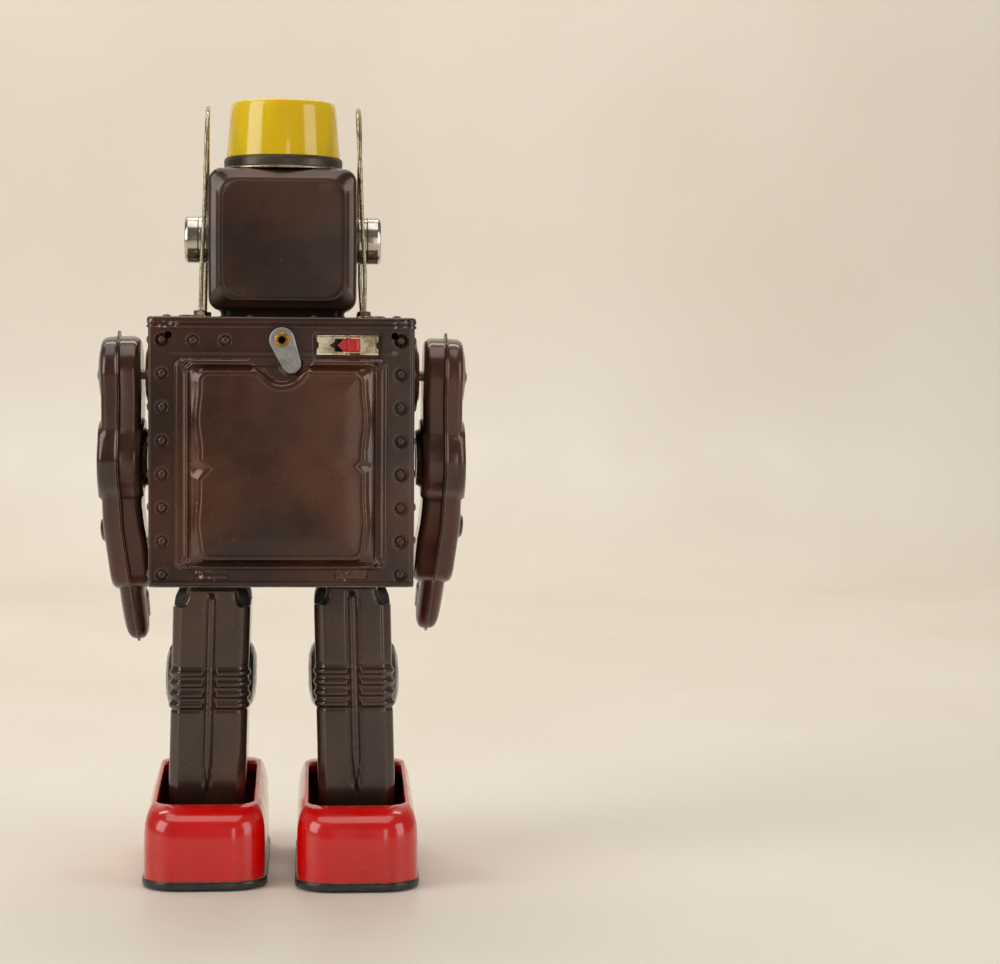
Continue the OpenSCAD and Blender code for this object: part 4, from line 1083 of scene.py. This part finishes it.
nuts = [nut((sx * 31.2, 2 + e * 19, 216.4), 11 * (e + 2) + 7 * sx) for sx in (-1, 1) for e in (-1, 1)]
piece("antenna_hex_nuts", joined(*nuts), nickel_worn, "body", ["antenna_nuts"])
lugs = []
for sx in (-1, 1):
    p = fillet([(0, -2.0), (4.4, -1.6), (5.2, 0), (4.4, 1.6), (0, 2.0), (-2.6, 1.4), (-2.6, -1.4), (0, -2.0)], 0.8, 4)[:-1]
    rows = [np.c_[sx * (31.2 + 2.8 + p[:, 0] * k), 24.6 + p[:, 1] * k, np.full(len(p), z)]
            for k, z in ((0.96, 216.42), (1, 216.55), (1, 216.95), (0.95, 217.1))]
    lugs.append(loft(rows))
piece("antenna_lugs", joined(*lugs), nickel_worn, "body")

# ---- arms ----

ELBOW = np.array([-1.0, -33.0])
BEND = math.radians(25)
AX = np.array([-math.sin(BEND), -math.cos(BEND)])
WRIST = ELBOW + 46 * AX


def cap_sdf(p, a, b, ra, rb):
    ab = b - a
    t = np.clip(((p - a) @ ab) / (ab @ ab), 0, 1)
    return np.linalg.norm(p - a - t[..., None] * ab, axis=-1) - (ra + (rb - ra) * t)


def smin(a, b, k):
    h = np.clip(0.5 + 0.5 * (b - a) / k, 0, 1)
    return b + (a - b) * h - k * h * (1 - h)


def arm_sdf(p, flange=False):
    o = np.zeros(2)
    s = smin(cap_sdf(p, o, ELBOW, 15, 12), np.linalg.norm(p - ELBOW, axis=-1) - 15.6, 2.2)
    s = smin(s, cap_sdf(p, ELBOW, WRIST, 12, 10.6), 2.2)
    if flange:
        s = smin(s, np.linalg.norm(p - np.array([0, 14.2]), axis=-1) - 1.9, 1.6)
    return s


def arm_top(p, inner):
    """Height of the stamping above the seam at a point of its side view."""
    de = np.linalg.norm(p - ELBOW, axis=-1)
    ds = np.linalg.norm(p, axis=-1)
    dw = np.linalg.norm(p - (ELBOW + 31 * AX), axis=-1)
    z = p[..., 1]
    if inner:
        top = np.interp(-z, [-15, 20, 34, 52, 66, 90], [8.6, 8.9, 8.6, 8.2, 9.0, 8.2])
        top = top + 0.9 * smooth(16.2, 14.9, de) + 1.9 * smooth(11.8, 10.6, de)
        return top - 0.6 * smooth(6.0, 5.2, de)
    top = np.interp(-z, [-15, 0, 20, 34, 55, 90], [7.0, 7.0, 6.6, 6.7, 7.4, 7.6])
    top = top + 1.3 * smooth(16.3, 14.9, de) + 0.25 * smooth(11, 9, de)
    top = top + 0.8 * smooth(11.5, 8.5, ds) + 0.5 * smooth(4.6, 3.8, ds)
    return top + 1.7 * smooth(5.8, 3.6, dw)


def seam_shift(v):
    """The seam bows outwards at the elbow."""
    v = np.array(v, float)
    v[:, 0] += np.interp(v[:, 2], [-115, -85, -60, -33, -8, 15], [-0.2, 1.5, 3.1, 2.7, 1.2, 0.7])
    return v


def arm_half(inner):
    n = 300
    t = np.linspace(0, 1, 400)
    axis = np.where(t[:, None] < 0.46, (t[:, None] / 0.46) * ELBOW, ELBOW + (t[:, None] - 0.46) / 0.54 * (WRIST - ELBOW))
    kern = np.ones(61) / 61
    pad = np.vstack([np.repeat(axis[:1], 30, 0), axis, np.repeat(axis[-1:], 30, 0)])
    sm = np.c_[np.convolve(pad[:, 0], kern, "valid"), np.convolve(pad[:, 1], kern, "valid")]
    w = (smooth(0, 0.12, t) * smooth(1, 0.88, t))[:, None]
    axis = axis * (1 - w) + sm * w
    tang = np.gradient(axis, axis=0)
    tang /= np.linalg.norm(tang, axis=1)[:, None]
    nor = np.c_[-tang[:, 1], tang[:, 0]]
    k = 110
    pick = np.linspace(0, 399, k).astype(int)
    end = (n - 2 * k) // 2
    base, ray = [], []
    for i in pick:
        base.append(axis[i]); ray.append(nor[i])
    a1 = math.atan2(*nor[-1][::-1])
    for j in range(1, end + 1):
        a = a1 - math.pi * j / (end + 1)
        base.append(axis[-1]); ray.append((math.cos(a), math.sin(a)))
    for i in pick[::-1]:
        base.append(axis[i]); ray.append(-nor[i])
    a0 = math.atan2(*(-nor[0])[::-1])
    for j in range(1, end + 1):
        a = a0 - math.pi * j / (end + 1)
        base.append(axis[0]); ray.append((math.cos(a), math.sin(a)))
    base, ray = np.array(base), np.array(ray)

    def reach(fl):
        lo, hi = np.zeros(len(base)), np.full(len(base), 30.0)
        for _ in range(40):
            mid = (lo + hi) / 2
            inside = arm_sdf(base + ray * mid[:, None], fl) < 0
            lo, hi = np.where(inside, mid, lo), np.where(inside, hi, mid)
        return (lo + hi) / 2

    rho, rho_f = reach(False), reach(True)
    ring = lambda r, x: np.c_[np.broadcast_to(x, len(base)), base + ray * np.asarray(r)[:, None]]
    rings = [ring(rho_f * 0 + 0.02, 0.02), ring(rho_f * 0.5, 0.02), ring(rho_f + 0.7, 0.02), ring(rho_f + 1.1, 0.1), ring(rho_f + 1.2, 0.3),
             ring(rho_f + 1.1, 0.5), ring(rho_f + 0.7, 0.6), ring(np.minimum(rho_f, rho + 3) + 0.25, 0.62), ring(rho + 0.12, 0.8),
             ring(rho, 1.3)]
    R = 3.0
    edge = base + ray * (rho - 1.5)[:, None]
    top_e = arm_top(edge, inner)
    rings.append(ring(rho - 0.1, top_e - R - 0.4))
    for a in np.radians(np.linspace(0, 84, 9)):
        r = rho - 0.15 - R * (1 - math.cos(a))
        here = arm_top(base + ray * r[:, None], inner)
        rings.append(ring(r, np.minimum(here, top_e + 2) - R + R * math.sin(a)))
    reach_in = rho - 0.15 - R * 0.9
    for q in np.r_[np.linspace(0.97, 0.1, 34), 0.01]:
        r = reach_in * q
        rings.append(ring(r, arm_top(base + ray * r[:, None], inner)))
    v, f = loft(rings, caps=False)
    return v, f


def place_arm(v, swing, sx):
    v = turned_x(turned_y(seam_shift(v), 2.4), swing) + np.array(SHOULDER)
    return v * (sx, 1, 1)


def hand_shape():
    """Folded fingers below the cuff: a faceted shell with a seam rib and a thumb on the inner side."""
    side = np.array([-AX[1], AX[0]])
    rows = [(2, 5.4, 8.4), (8, 5.4, 8.4), (12, 5.2, 8.3), (16, 5.2, 8.1), (20, 5.1, 7.7), (24, 5.0, 7.2), (27.5, 4.8, 6.5),
            (30, 4.4, 5.7), (32, 3.7, 4.6), (33.3, 2.7, 3.3), (33.9, 1.2, 1.5), (34.0, 0.2, 0.2)]
    rows = np.array(rows, float)
    dense = curve(rows[:, 0], rows[:, 1:], np.linspace(2, 34.0, 80))
    a = np.linspace(0, 2 * np.pi, 96, endpoint=False)
    rings = []
    for d, (wx, wy) in zip(np.linspace(2, 34.0, 80), dense):
        c, s = np.cos(a), np.sin(a)
        p = 0.62
        x = wx * np.sign(c) * np.abs(c) ** p
        y = wy * np.sign(s) * np.abs(s) ** p
        # four finger creases down the back
        crease = sum(0.35 * np.exp(-((y - wy * q) / 0.5) ** 2) for q in (-0.5, 0.0, 0.5)) * smooth(10, 15, d) * smooth(34, 30, d)
        x = x - np.sign(x) * crease * smooth(0.3, 0.8, np.abs(c))
        yz = WRIST + AX * d
        rings.append(np.c_[x, yz[0] + side[0] * y, yz[1] + side[1] * y])
    body = loft(rings)
    rib = []
    for d, (wx, wy) in zip(np.linspace(2, 34.0, 80), dense):
        w = wy + 1.0
        yz = WRIST + AX * (d if d < 33 else 33 + (d - 33) * 2.0)
        q = np.array([(-0.55, -w), (-0.3, -w - 0.25), (0.3, -w - 0.25), (0.55, -w), (0.55, w), (0.3, w + 0.25), (-0.3, w + 0.25), (-0.55, w)])
        rib.append(np.c_[q[:, 0], yz[0] + side[0] * q[:, 1], yz[1] + side[1] * q[:, 1]])
    thumb = []
    for t in np.linspace(0, 1, 30):
        d = 11 + 16 * t
        r = 2.6 * math.sqrt(max(1 - (2 * abs(t - 0.45)) ** 3.2, 0.004)) if t > 0.9 or t < 0.05 else 2.6 - 0.8 * t
        r = min(r, 0.15 + 9 * t, 0.15 + 14 * (1 - t))
        yz = WRIST + AX * d - side * (1.0 + 1.0 * t)
        thumb.append(np.c_[-4.4 + 0.2 * t + r * 0.72 * np.cos(a[::4]), yz[0] + side[0] * r * 1.5 * np.sin(a[::4]),
                           yz[1] + side[1] * r * 1.5 * np.sin(a[::4])])
    return joined(body, loft(rib), loft(thumb))


half_out, half_in, fist = arm_half(False), arm_half(True), hand_shape()
for side, sx, swing in (("left", 1, 2 * STRIDE), ("right", -1, -2 * STRIDE)):
    body = "arm_" + side
    v, f = half_out
    piece(f"arm_shell_outer_{side}", (place_arm(v, swing, sx), f), brown_arm, body, [f"arm_{side}_outer"])
    v, f = half_in
    piece(f"arm_shell_inner_{side}", (place_arm(v * (-1, 1, 1), swing, sx), f), brown_arm, body, [f"arm_{side}_inner"])
    v, f = fist
    piece(f"fist_{side}", (place_arm(v, swing, sx), f), brown_arm, body, [f"hand_{side}"])
    # A near-black disc on the inner elbow boss: painted shade standing for the dark of its hole.
    elbow_shade = lathe(fillet([(0.01, 0.25), (3.2, 0.25), (3.6, 0.5), (4.4, 0.5), (4.9, 0.1), (5.2, -0.6), (0.01, -0.6)], 0.2, 3), 48, "x")
    v, f = elbow_shade
    v = (v * (-1, 1, 1) + (-10.9, 0, 0)) + (0, ELBOW[0], ELBOW[1])
    piece(f"elbow_hole_shade_{side}", (place_arm(v, swing, sx), f), painted_shade, body, weld=0.001)

    rod = fillet([(0.01, 19.6), (2.0, 19.6), (2.0, 69.6), (0.01, 69.6)], 0.1, 2)
    lever = [np.c_[np.full(44, x), rrect(5.4, 30, 1.5, 8, 3)[:44] * k + (0, -13.2)] for x, k in ((19.6, 0.97), (19.75, 1), (20.65, 1), (20.8, 0.97))]
    hub = fillet([(0.01, 19.5), (5.0, 19.5), (5.0, 20.9), (0.01, 20.9)], 0.2, 3)
    pv, pf = joined(lathe(rod, 32, "x"), loft(lever), lathe(hub, 40, "x"))
    pv = turned_x(pv, swing) + (0, SHOULDER[1], SHOULDER[2])
    piece(f"shoulder_rod_{side}", (pv * (sx, 1, 1), pf), steel, body, [f"shoulder_pin_{side}"], weld=0.001)
    cap = fillet([(0.01, 9.9), (1.4, 9.8), (2.9, 9.2), (3.4, 8.5), (3.4, 7.8), (0.01, 7.8)], 0.6, 4)
    cv, cf = lathe(cap, 40, "x")
    piece(f"shoulder_rivet_{side}", (place_arm(cv - (0.9, 0, 0), swing, sx), cf), brown_arm, body, weld=0.001)

# ---- legs ----


def leg_ring(w, d, c, yc, z):
    """Chamfered section with dense points across the back and front faces."""
    x, y = w / 2, d / 2
    pts = [(x, y - c), (x - c, y), (c - x, y), (-x, y - c), (-x, c - y), (c - x, -y), (x - c, -y), (x, c - y)]
    count = [5, 62, 5, 40, 5, 30, 5, 40]
    out = []
    for i in range(8):
        a, b = np.array(pts[i]), np.array(pts[(i + 1) % 8])
        t = np.linspace(0, 1, count[i], endpoint=False)[:, None]
        out.append(a + (b - a) * t)
    p = np.vstack(out)
    for _ in range(2):
        p = 0.25 * np.roll(p, 1, 0) + 0.5 * p + 0.25 * np.roll(p, -1, 0)
    return np.c_[p[:, 0], p[:, 1] + yc, np.full(len(p), z)]


def leg_shape():
    zs = np.r_[10.0, 10.4, np.arange(11, 63, 1.0), np.arange(63, 83, 0.3), np.arange(83, 98, 1.0), np.arange(98, 111, 0.3)]
    rings = []
    for z in zs:
        k = smooth(104.4, 111.4, z)
        flare = np.sqrt(np.clip(1 - ((110.9 - z) / 6.2) ** 2, 0, 1)) if z > 104.7 else 0.0
        w = 30 - 10.2 * flare
        c = 3.4 - 1.6 * flare
        front = 0.0 + 9.0 * flare
        p = leg_ring(w, 38 - front, c, -4 + front / 2, z)
        q = p[:, :2]
        t = np.roll(q, -1, 0) - np.roll(q, 1, 0)
        t /= np.maximum(np.linalg.norm(t, axis=1), 1e-9)[:, None]
        out = np.c_[t[:, 1], -t[:, 0]]
        if np.sum(out * (q - q.mean(0))) < 0:
            out = -out
        disp = np.zeros(len(p))
        rib = sum(math.exp(-((z - (66.2 + 4.2 * i)) / 1.15) ** 4) for i in range(4))
        dist = np.hypot(p[:, 1] + 4, z - 75.6)
        on_side = np.abs(p[:, 0]) > w / 2 - 1.0
        disp += 0.78 * rib * np.where(on_side, smooth(12.9, 14.2, dist), 1.0) * (1 - 0.85 * smooth(3.1, 1.9, np.abs(p[:, 0])) * (p[:, 1] > 5))
        disp -= 0.22 * sum(math.exp(-((z - c0) / 0.6) ** 2) for c0 in (64.3, 81.5))
        back = p[:, 1] > 5
        ends = smooth(33.5, 37.0, z) * smooth(110.5, 107.5, z)
        width = 1.25 * (0.35 + 0.65 * smooth(33.5, 46, z))
        bead = np.exp(-(np.abs(p[:, 0]) / width) ** 4)
        disp += np.where(back, (1.25 * bead - 0.4 * np.exp(-((np.abs(p[:, 0]) - width - 0.8) / 0.5) ** 2)) * ends, 0)
        low = smooth(34.5, 32.0, z) * smooth(20, 26, z)
        disp -= np.where(back, 0.45 * np.exp(-(p[:, 0] / 0.5) ** 2) * low, 0)
        frontb = ~back
        disp += np.where(frontb & (np.abs(p[:, 0]) < 6), 0.7 * bead * ends, 0)
        p[:, :2] += out * disp[:, None]
        rings.append(p)
    return loft(rings)


def leg_shoulder():
    """Near-black side flanges beside the neck: painted shade for the recessed top corners of the leg, whose inside is
    in shadow.
    """
    rings = []
    for z in np.linspace(101, 110.6, 24):
        k = np.clip((z - 104.5) / 6.4, 0, 1)
        w = 29.6 - 6.5 * (1 - math.sqrt(1 - k**2.4))
        p = leg_ring(w, 30, 3.2, -6.5, z)
        rings.append(p)
    return loft(rings)


def leg_neck():
    rows = [(110.4, 19.5, 13.8), (hz(3), 19.5, 13.8), (hz(4.6), 19.4, 10.6), (hz(5.8), 19.0, 7.8)]
    rings = []
    for z, w, d in rows:
        p = rrect(w, d, 1.2, 5, 8)
        rings.append(np.c_[p[:, 0], p[:, 1] - 7, np.full(len(p), z)])
    return loft(rings)


def hz(extra):
    return 121.5 + extra


def place_leg(v, swing, sx):
    v = np.asarray(v) + (28, 0, 0)
    v[:, 0] += -0.9 + 2.1 * np.clip(110 - v[:, 2], 0, 120) / 80
    v = turned_x(v, swing, (0, -7, 121.5)) + (0, 0, HIP[1] - 121.5)
    return v * (sx, 1, 1)


leg_main, leg_shade, leg_top = leg_shape(), leg_shoulder(), leg_neck()
dome_disc = fillet([(0.01, 2.9), (4, 2.85), (8, 2.5), (11.2, 1.5), (12.4, 0.6), (12.75, 0.3), (12.8, 0.02), (0.01, 0.02)], 2.0, 6)
for side, sx in (("left", 1), ("right", -1)):
    swing = -STRIDE * sx
    body = "leg_" + side
    v, f = joined(leg_main, leg_top)
    piece(f"leg_tube_{side}", (place_leg(v, swing, sx), f), brown_leg, body, [f"leg_{side}"])
    # The near-black flanges are painted shade in the recessed top corners of the leg.
    v, f = leg_shade
    piece(f"leg_shoulder_shade_{side}", (place_leg(v, swing, sx), f), painted_shade, body)
    discs = []
    for s2 in (-1, 1):
        dv, df_ = lathe(dome_disc, 80, "x", (0, 0, 0), s2)
        discs.append((dv + (s2 * 15.0, -4, 75.6), df_))
    v, f = joined(*discs)
    piece(f"knee_cap_{side}", (place_leg(v, swing, sx), f), disc_dark, body, [f"knee_discs_{side}"], weld=0.001)

# ---- shoes ----


def shoe_shape():
    rows = [(3.05, 44.6, 95.0, 0, 12.4), (3.0, 45.8, 96.3, 0, 13), (3.4, 46.0, 96.5, 0, 13), (7, 46.0, 96.5, 0, 13),
            (13, 46.0, 96.5, 0, 13), (18, 45.9, 96.4, 0, 13), (21, 45.7, 96.0, 0, 12.9), (23.4, 45.3, 95.2, 0, 12.7),
            (25.4, 44.6, 93.6, 0, 12.3), (27.2, 43.6, 90.8, 0, 11.7), (28.6, 42.4, 87.0, 0.2, 10.9), (29.7, 41.2, 82.6, 0.5, 10.2),
            (30.5, 40.2, 77.6, 1.1, 9.5), (30.9, 39.3, 73.0, 1.8, 8.9), (31.0, 38.4, 68.8, 2.6, 8.3),
            (30.95, 37.5, 65.2, 3.4, 7.7), (30.6, 36.9, 63.2, 3.9, 7.2), (29.8, 36.5, 62.3, 4, 7.0), (28.6, 36.5, 62.2, 4, 7.0),
            (27.4, 37.4, 64, 3.6, 7.4), (25.0, 40.8, 82, 0.5, 10), (20, 44.2, 93.5, 0, 11.5), (12, 44.6, 95.0, 0, 12.4),
            (3.6, 44.6, 95.0, 0, 12.4)]
    rows = np.array(rows)
    k = np.linspace(0, 1, len(rows))
    dense = curve(k, rows, np.linspace(0, 1, 150))
    rings = []
    for z, w, l, cy, r in dense:
        p = rrect(w, l, r, 14, 24)
        y = p[:, 1] + cy
        # the rim climbs from the heel towards the instep
        lift = 6.5 * np.clip((30 - y) / 55, 0, 1) - 9.0 * np.clip((-34 - y) / 14, 0, 1) ** 1.5
        zz = z + max(z - 18.0, 0) / 13.0 * lift
        rings.append(np.c_[p[:, 0], y, zz])
    return loft(rings, wrap=True)


def sole_rim():
    """The rolled black edge that stands a little proud round the shoe."""
    p = rrect(46.5, 96.9, 13.5, 14, 16)
    a = np.radians(np.arange(0, 360, 30))
    c = p.mean(0)
    t = np.roll(p, -1, 0) - np.roll(p, 1, 0)
    t /= np.linalg.norm(t, axis=1)[:, None]
    n = np.c_[t[:, 1], -t[:, 0]]
    if np.sum(n * (p - c)) < 0:
        n = -n
    wob = 1 + 0.12 * np.sin(np.arange(len(p)) * 0.7) + 0.06 * np.sin(np.arange(len(p)) * 1.9)
    rings = []
    for i in a:
        off = n * (0.42 * math.cos(i) * wob)[:, None]
        rings.append(np.c_[p + off, np.full(len(p), 2.35) + 1.25 * math.sin(i)])
    return loft(rings, wrap=True)


def wear_line():
    p = rrect(46.2, 96.7, 13.2, 14, 16)
    rings = []
    for dr, z in ((0.0, 3.55), (0.16, 3.62), (0.18, 3.75), (0.0, 3.85)):
        k = 1 + dr / 23
        rings.append(np.c_[p * k, np.full(len(p), z) + 0.06 * np.sin(np.arange(len(p)) * 1.3)])
    return loft(rings, wrap=True)


shoe_m, rim_m, line_m = shoe_shape(), sole_rim(), wear_line()
edge_wear = lacquer("sole_edge_wear", "black_sole", lin(40, 30, 28), lin(120, 96, 84), edge=0.9)
for side, sx in (("left", 1), ("right", -1)):
    swing = -STRIDE * sx
    at = np.array([sx * 29.0, 103.5 * math.sin(math.radians(swing)), 0])
    body = "foot_" + side
    for name, (v, f), m, nodes in ((f"shoe_shell_{side}", shoe_m, red, [f"shoe_{side}"]), (f"sole_rim_{side}", rim_m, sole_black, []),
                                   (f"sole_wear_{side}", line_m, edge_wear, [])):
        piece(name, (v * (sx, 1, 1) + at, f), m, body, nodes)

# ---- CAD nodes whose shape is right ----

for node, m, w in (("base_plate", grey_tin, 0.1), ("battery_tabs", brass, 0.1), ("battery_end_contacts", nickel_worn, 0.2),
                   ("switch_case", plastic_dark, 0.2), ("hip_lever_left", steel, 0.15), ("hip_lever_right", steel, 0.15), ("hip_shaft", steel, 0.2),
                   ("sole_left", sole_black, 0.2), ("sole_right", sole_black, 0.2), ("ankle_bracket_left", steel, 0.12),
                   ("ankle_bracket_right", steel, 0.12), ("rollers_left_front", rubber, 0.3), ("rollers_left_rear", rubber, 0.3),
                   ("rollers_right_front", rubber, 0.3), ("rollers_right_rear", rubber, 0.3), ("gearbox_frame", grey_tin, 0.15),
                   ("motor_can", zinc, 0.3), ("motor_pinion", brass, 0.04), ("idler_gear_a", brass, 0.05),
                   ("idler_gear_b", brass, 0.05), ("crankshaft", brass, 0.06)):
    dress(node, m, w)

# ---- room, lights, camera ----


def backdrop():
    prof = fillet([(1.9, 0), (-1.4, 0), (-1.4, 2.4)], (0, 0.3, 0), 16)
    rings = [np.c_[np.linspace(-2.4, 2.4, 40), np.full(40, y), np.full(40, z)] for y, z in prof]
    v = np.vstack(rings)
    n = 40
    f = [(i * n + j, i * n + j + 1, (i + 1) * n + j + 1, (i + 1) * n + j) for i in range(len(rings) - 1) for j in range(n - 1)]
    me = bpy.data.meshes.new("backdrop")
    me.from_pydata(v.tolist(), [], f)
    me.polygons.foreach_set("use_smooth", np.ones(len(f), bool))
    m = Finish("backdrop_paper", "grey_tin", 0.55)
    m.color(m.mix(m.ramp(m.noise(3, 2.0), 0.3, 0.7), lin(232, 224, 212), lin(238, 231, 220)))
    m.rough(m.ramp(m.noise(20, 2.0), 0.3, 0.7, 0.42, 0.6))
    m.bump((m.noise(120, 3.0, 0.5, m.stretch(0.1, 1, 1)), 0.04, 0.4))
    me.materials.append(m.mat)
    ob = bpy.data.objects.new("backdrop", me)
    scene.collection.objects.link(ob)


backdrop()


def area(name, at, to, size, power, color):
    d = bpy.data.lights.new(name, "AREA")
    d.shape = "RECTANGLE"
    d.size, d.size_y = size
    d.energy = power
    d.color = color
    ob = bpy.data.objects.new(name, d)
    ob.visible_camera = False
    ob.location = at
    ob.rotation_euler = (Vector(to) - Vector(at)).to_track_quat("-Z", "Y").to_euler()
    scene.collection.objects.link(ob)
    return ob


area("window", (1.15, 0.6, 0.7), (0, 0, 0.16), (0.8, 1.1), 9.0, (1.0, 0.97, 0.93))
area("fill", (-1.25, 0.75, 0.55), (0, 0, 0.15), (0.7, 1.1), 6.0, (1.0, 0.96, 0.9))
area("overhead", (0.1, 0.2, 1.45), (0, -0.12, 0.1), (1.2, 0.9), 5.6, (1.0, 0.98, 0.95))
area("wash", (0.1, -0.75, 1.75), (0.1, -1.4, 0.35), (2.2, 0.3), 15, (1.0, 0.96, 0.9))
area("card", (-0.19, 1.05, 0.2), (-0.05, 0, 0.15), (0.14, 0.6), 0.7, (1.0, 0.95, 0.9))
world = bpy.data.worlds.new("room")
world.use_nodes = True
world.node_tree.nodes["Background"].inputs[0].default_value = (1.0, 0.95, 0.88, 1)
world.node_tree.nodes["Background"].inputs[1].default_value = 0.2
scene.world = world
scene.view_settings.view_transform = "Standard"

cam_at = Vector((-0.012, 0.9366, 0.2028))
yaw, pitch, roll = (math.radians(a) for a in (4.495, 3.072, 0.395))
look = Vector((-math.sin(yaw) * math.cos(pitch), -math.cos(yaw) * math.cos(pitch), -math.sin(pitch)))
right = look.cross(Vector((0, 0, 1))).normalized()
up = right.cross(look)
right, up = right * math.cos(roll) + up * math.sin(roll), up * math.cos(roll) - right * math.sin(roll)
cam = bpy.data.cameras.new("camera")
cam.sensor_width = 36
cam.lens = 2.376 * 36
cam.clip_start, cam.clip_end = 0.01, 20
cam_ob = bpy.data.objects.new("camera", cam)
cam_ob.matrix_world = Matrix((
    (right.x, up.x, -look.x, cam_at.x), (right.y, up.y, -look.y, cam_at.y), (right.z, up.z, -look.z, cam_at.z), (0, 0, 0, 1)))
scene.collection.objects.link(cam_ob)
scene.camera = cam_ob
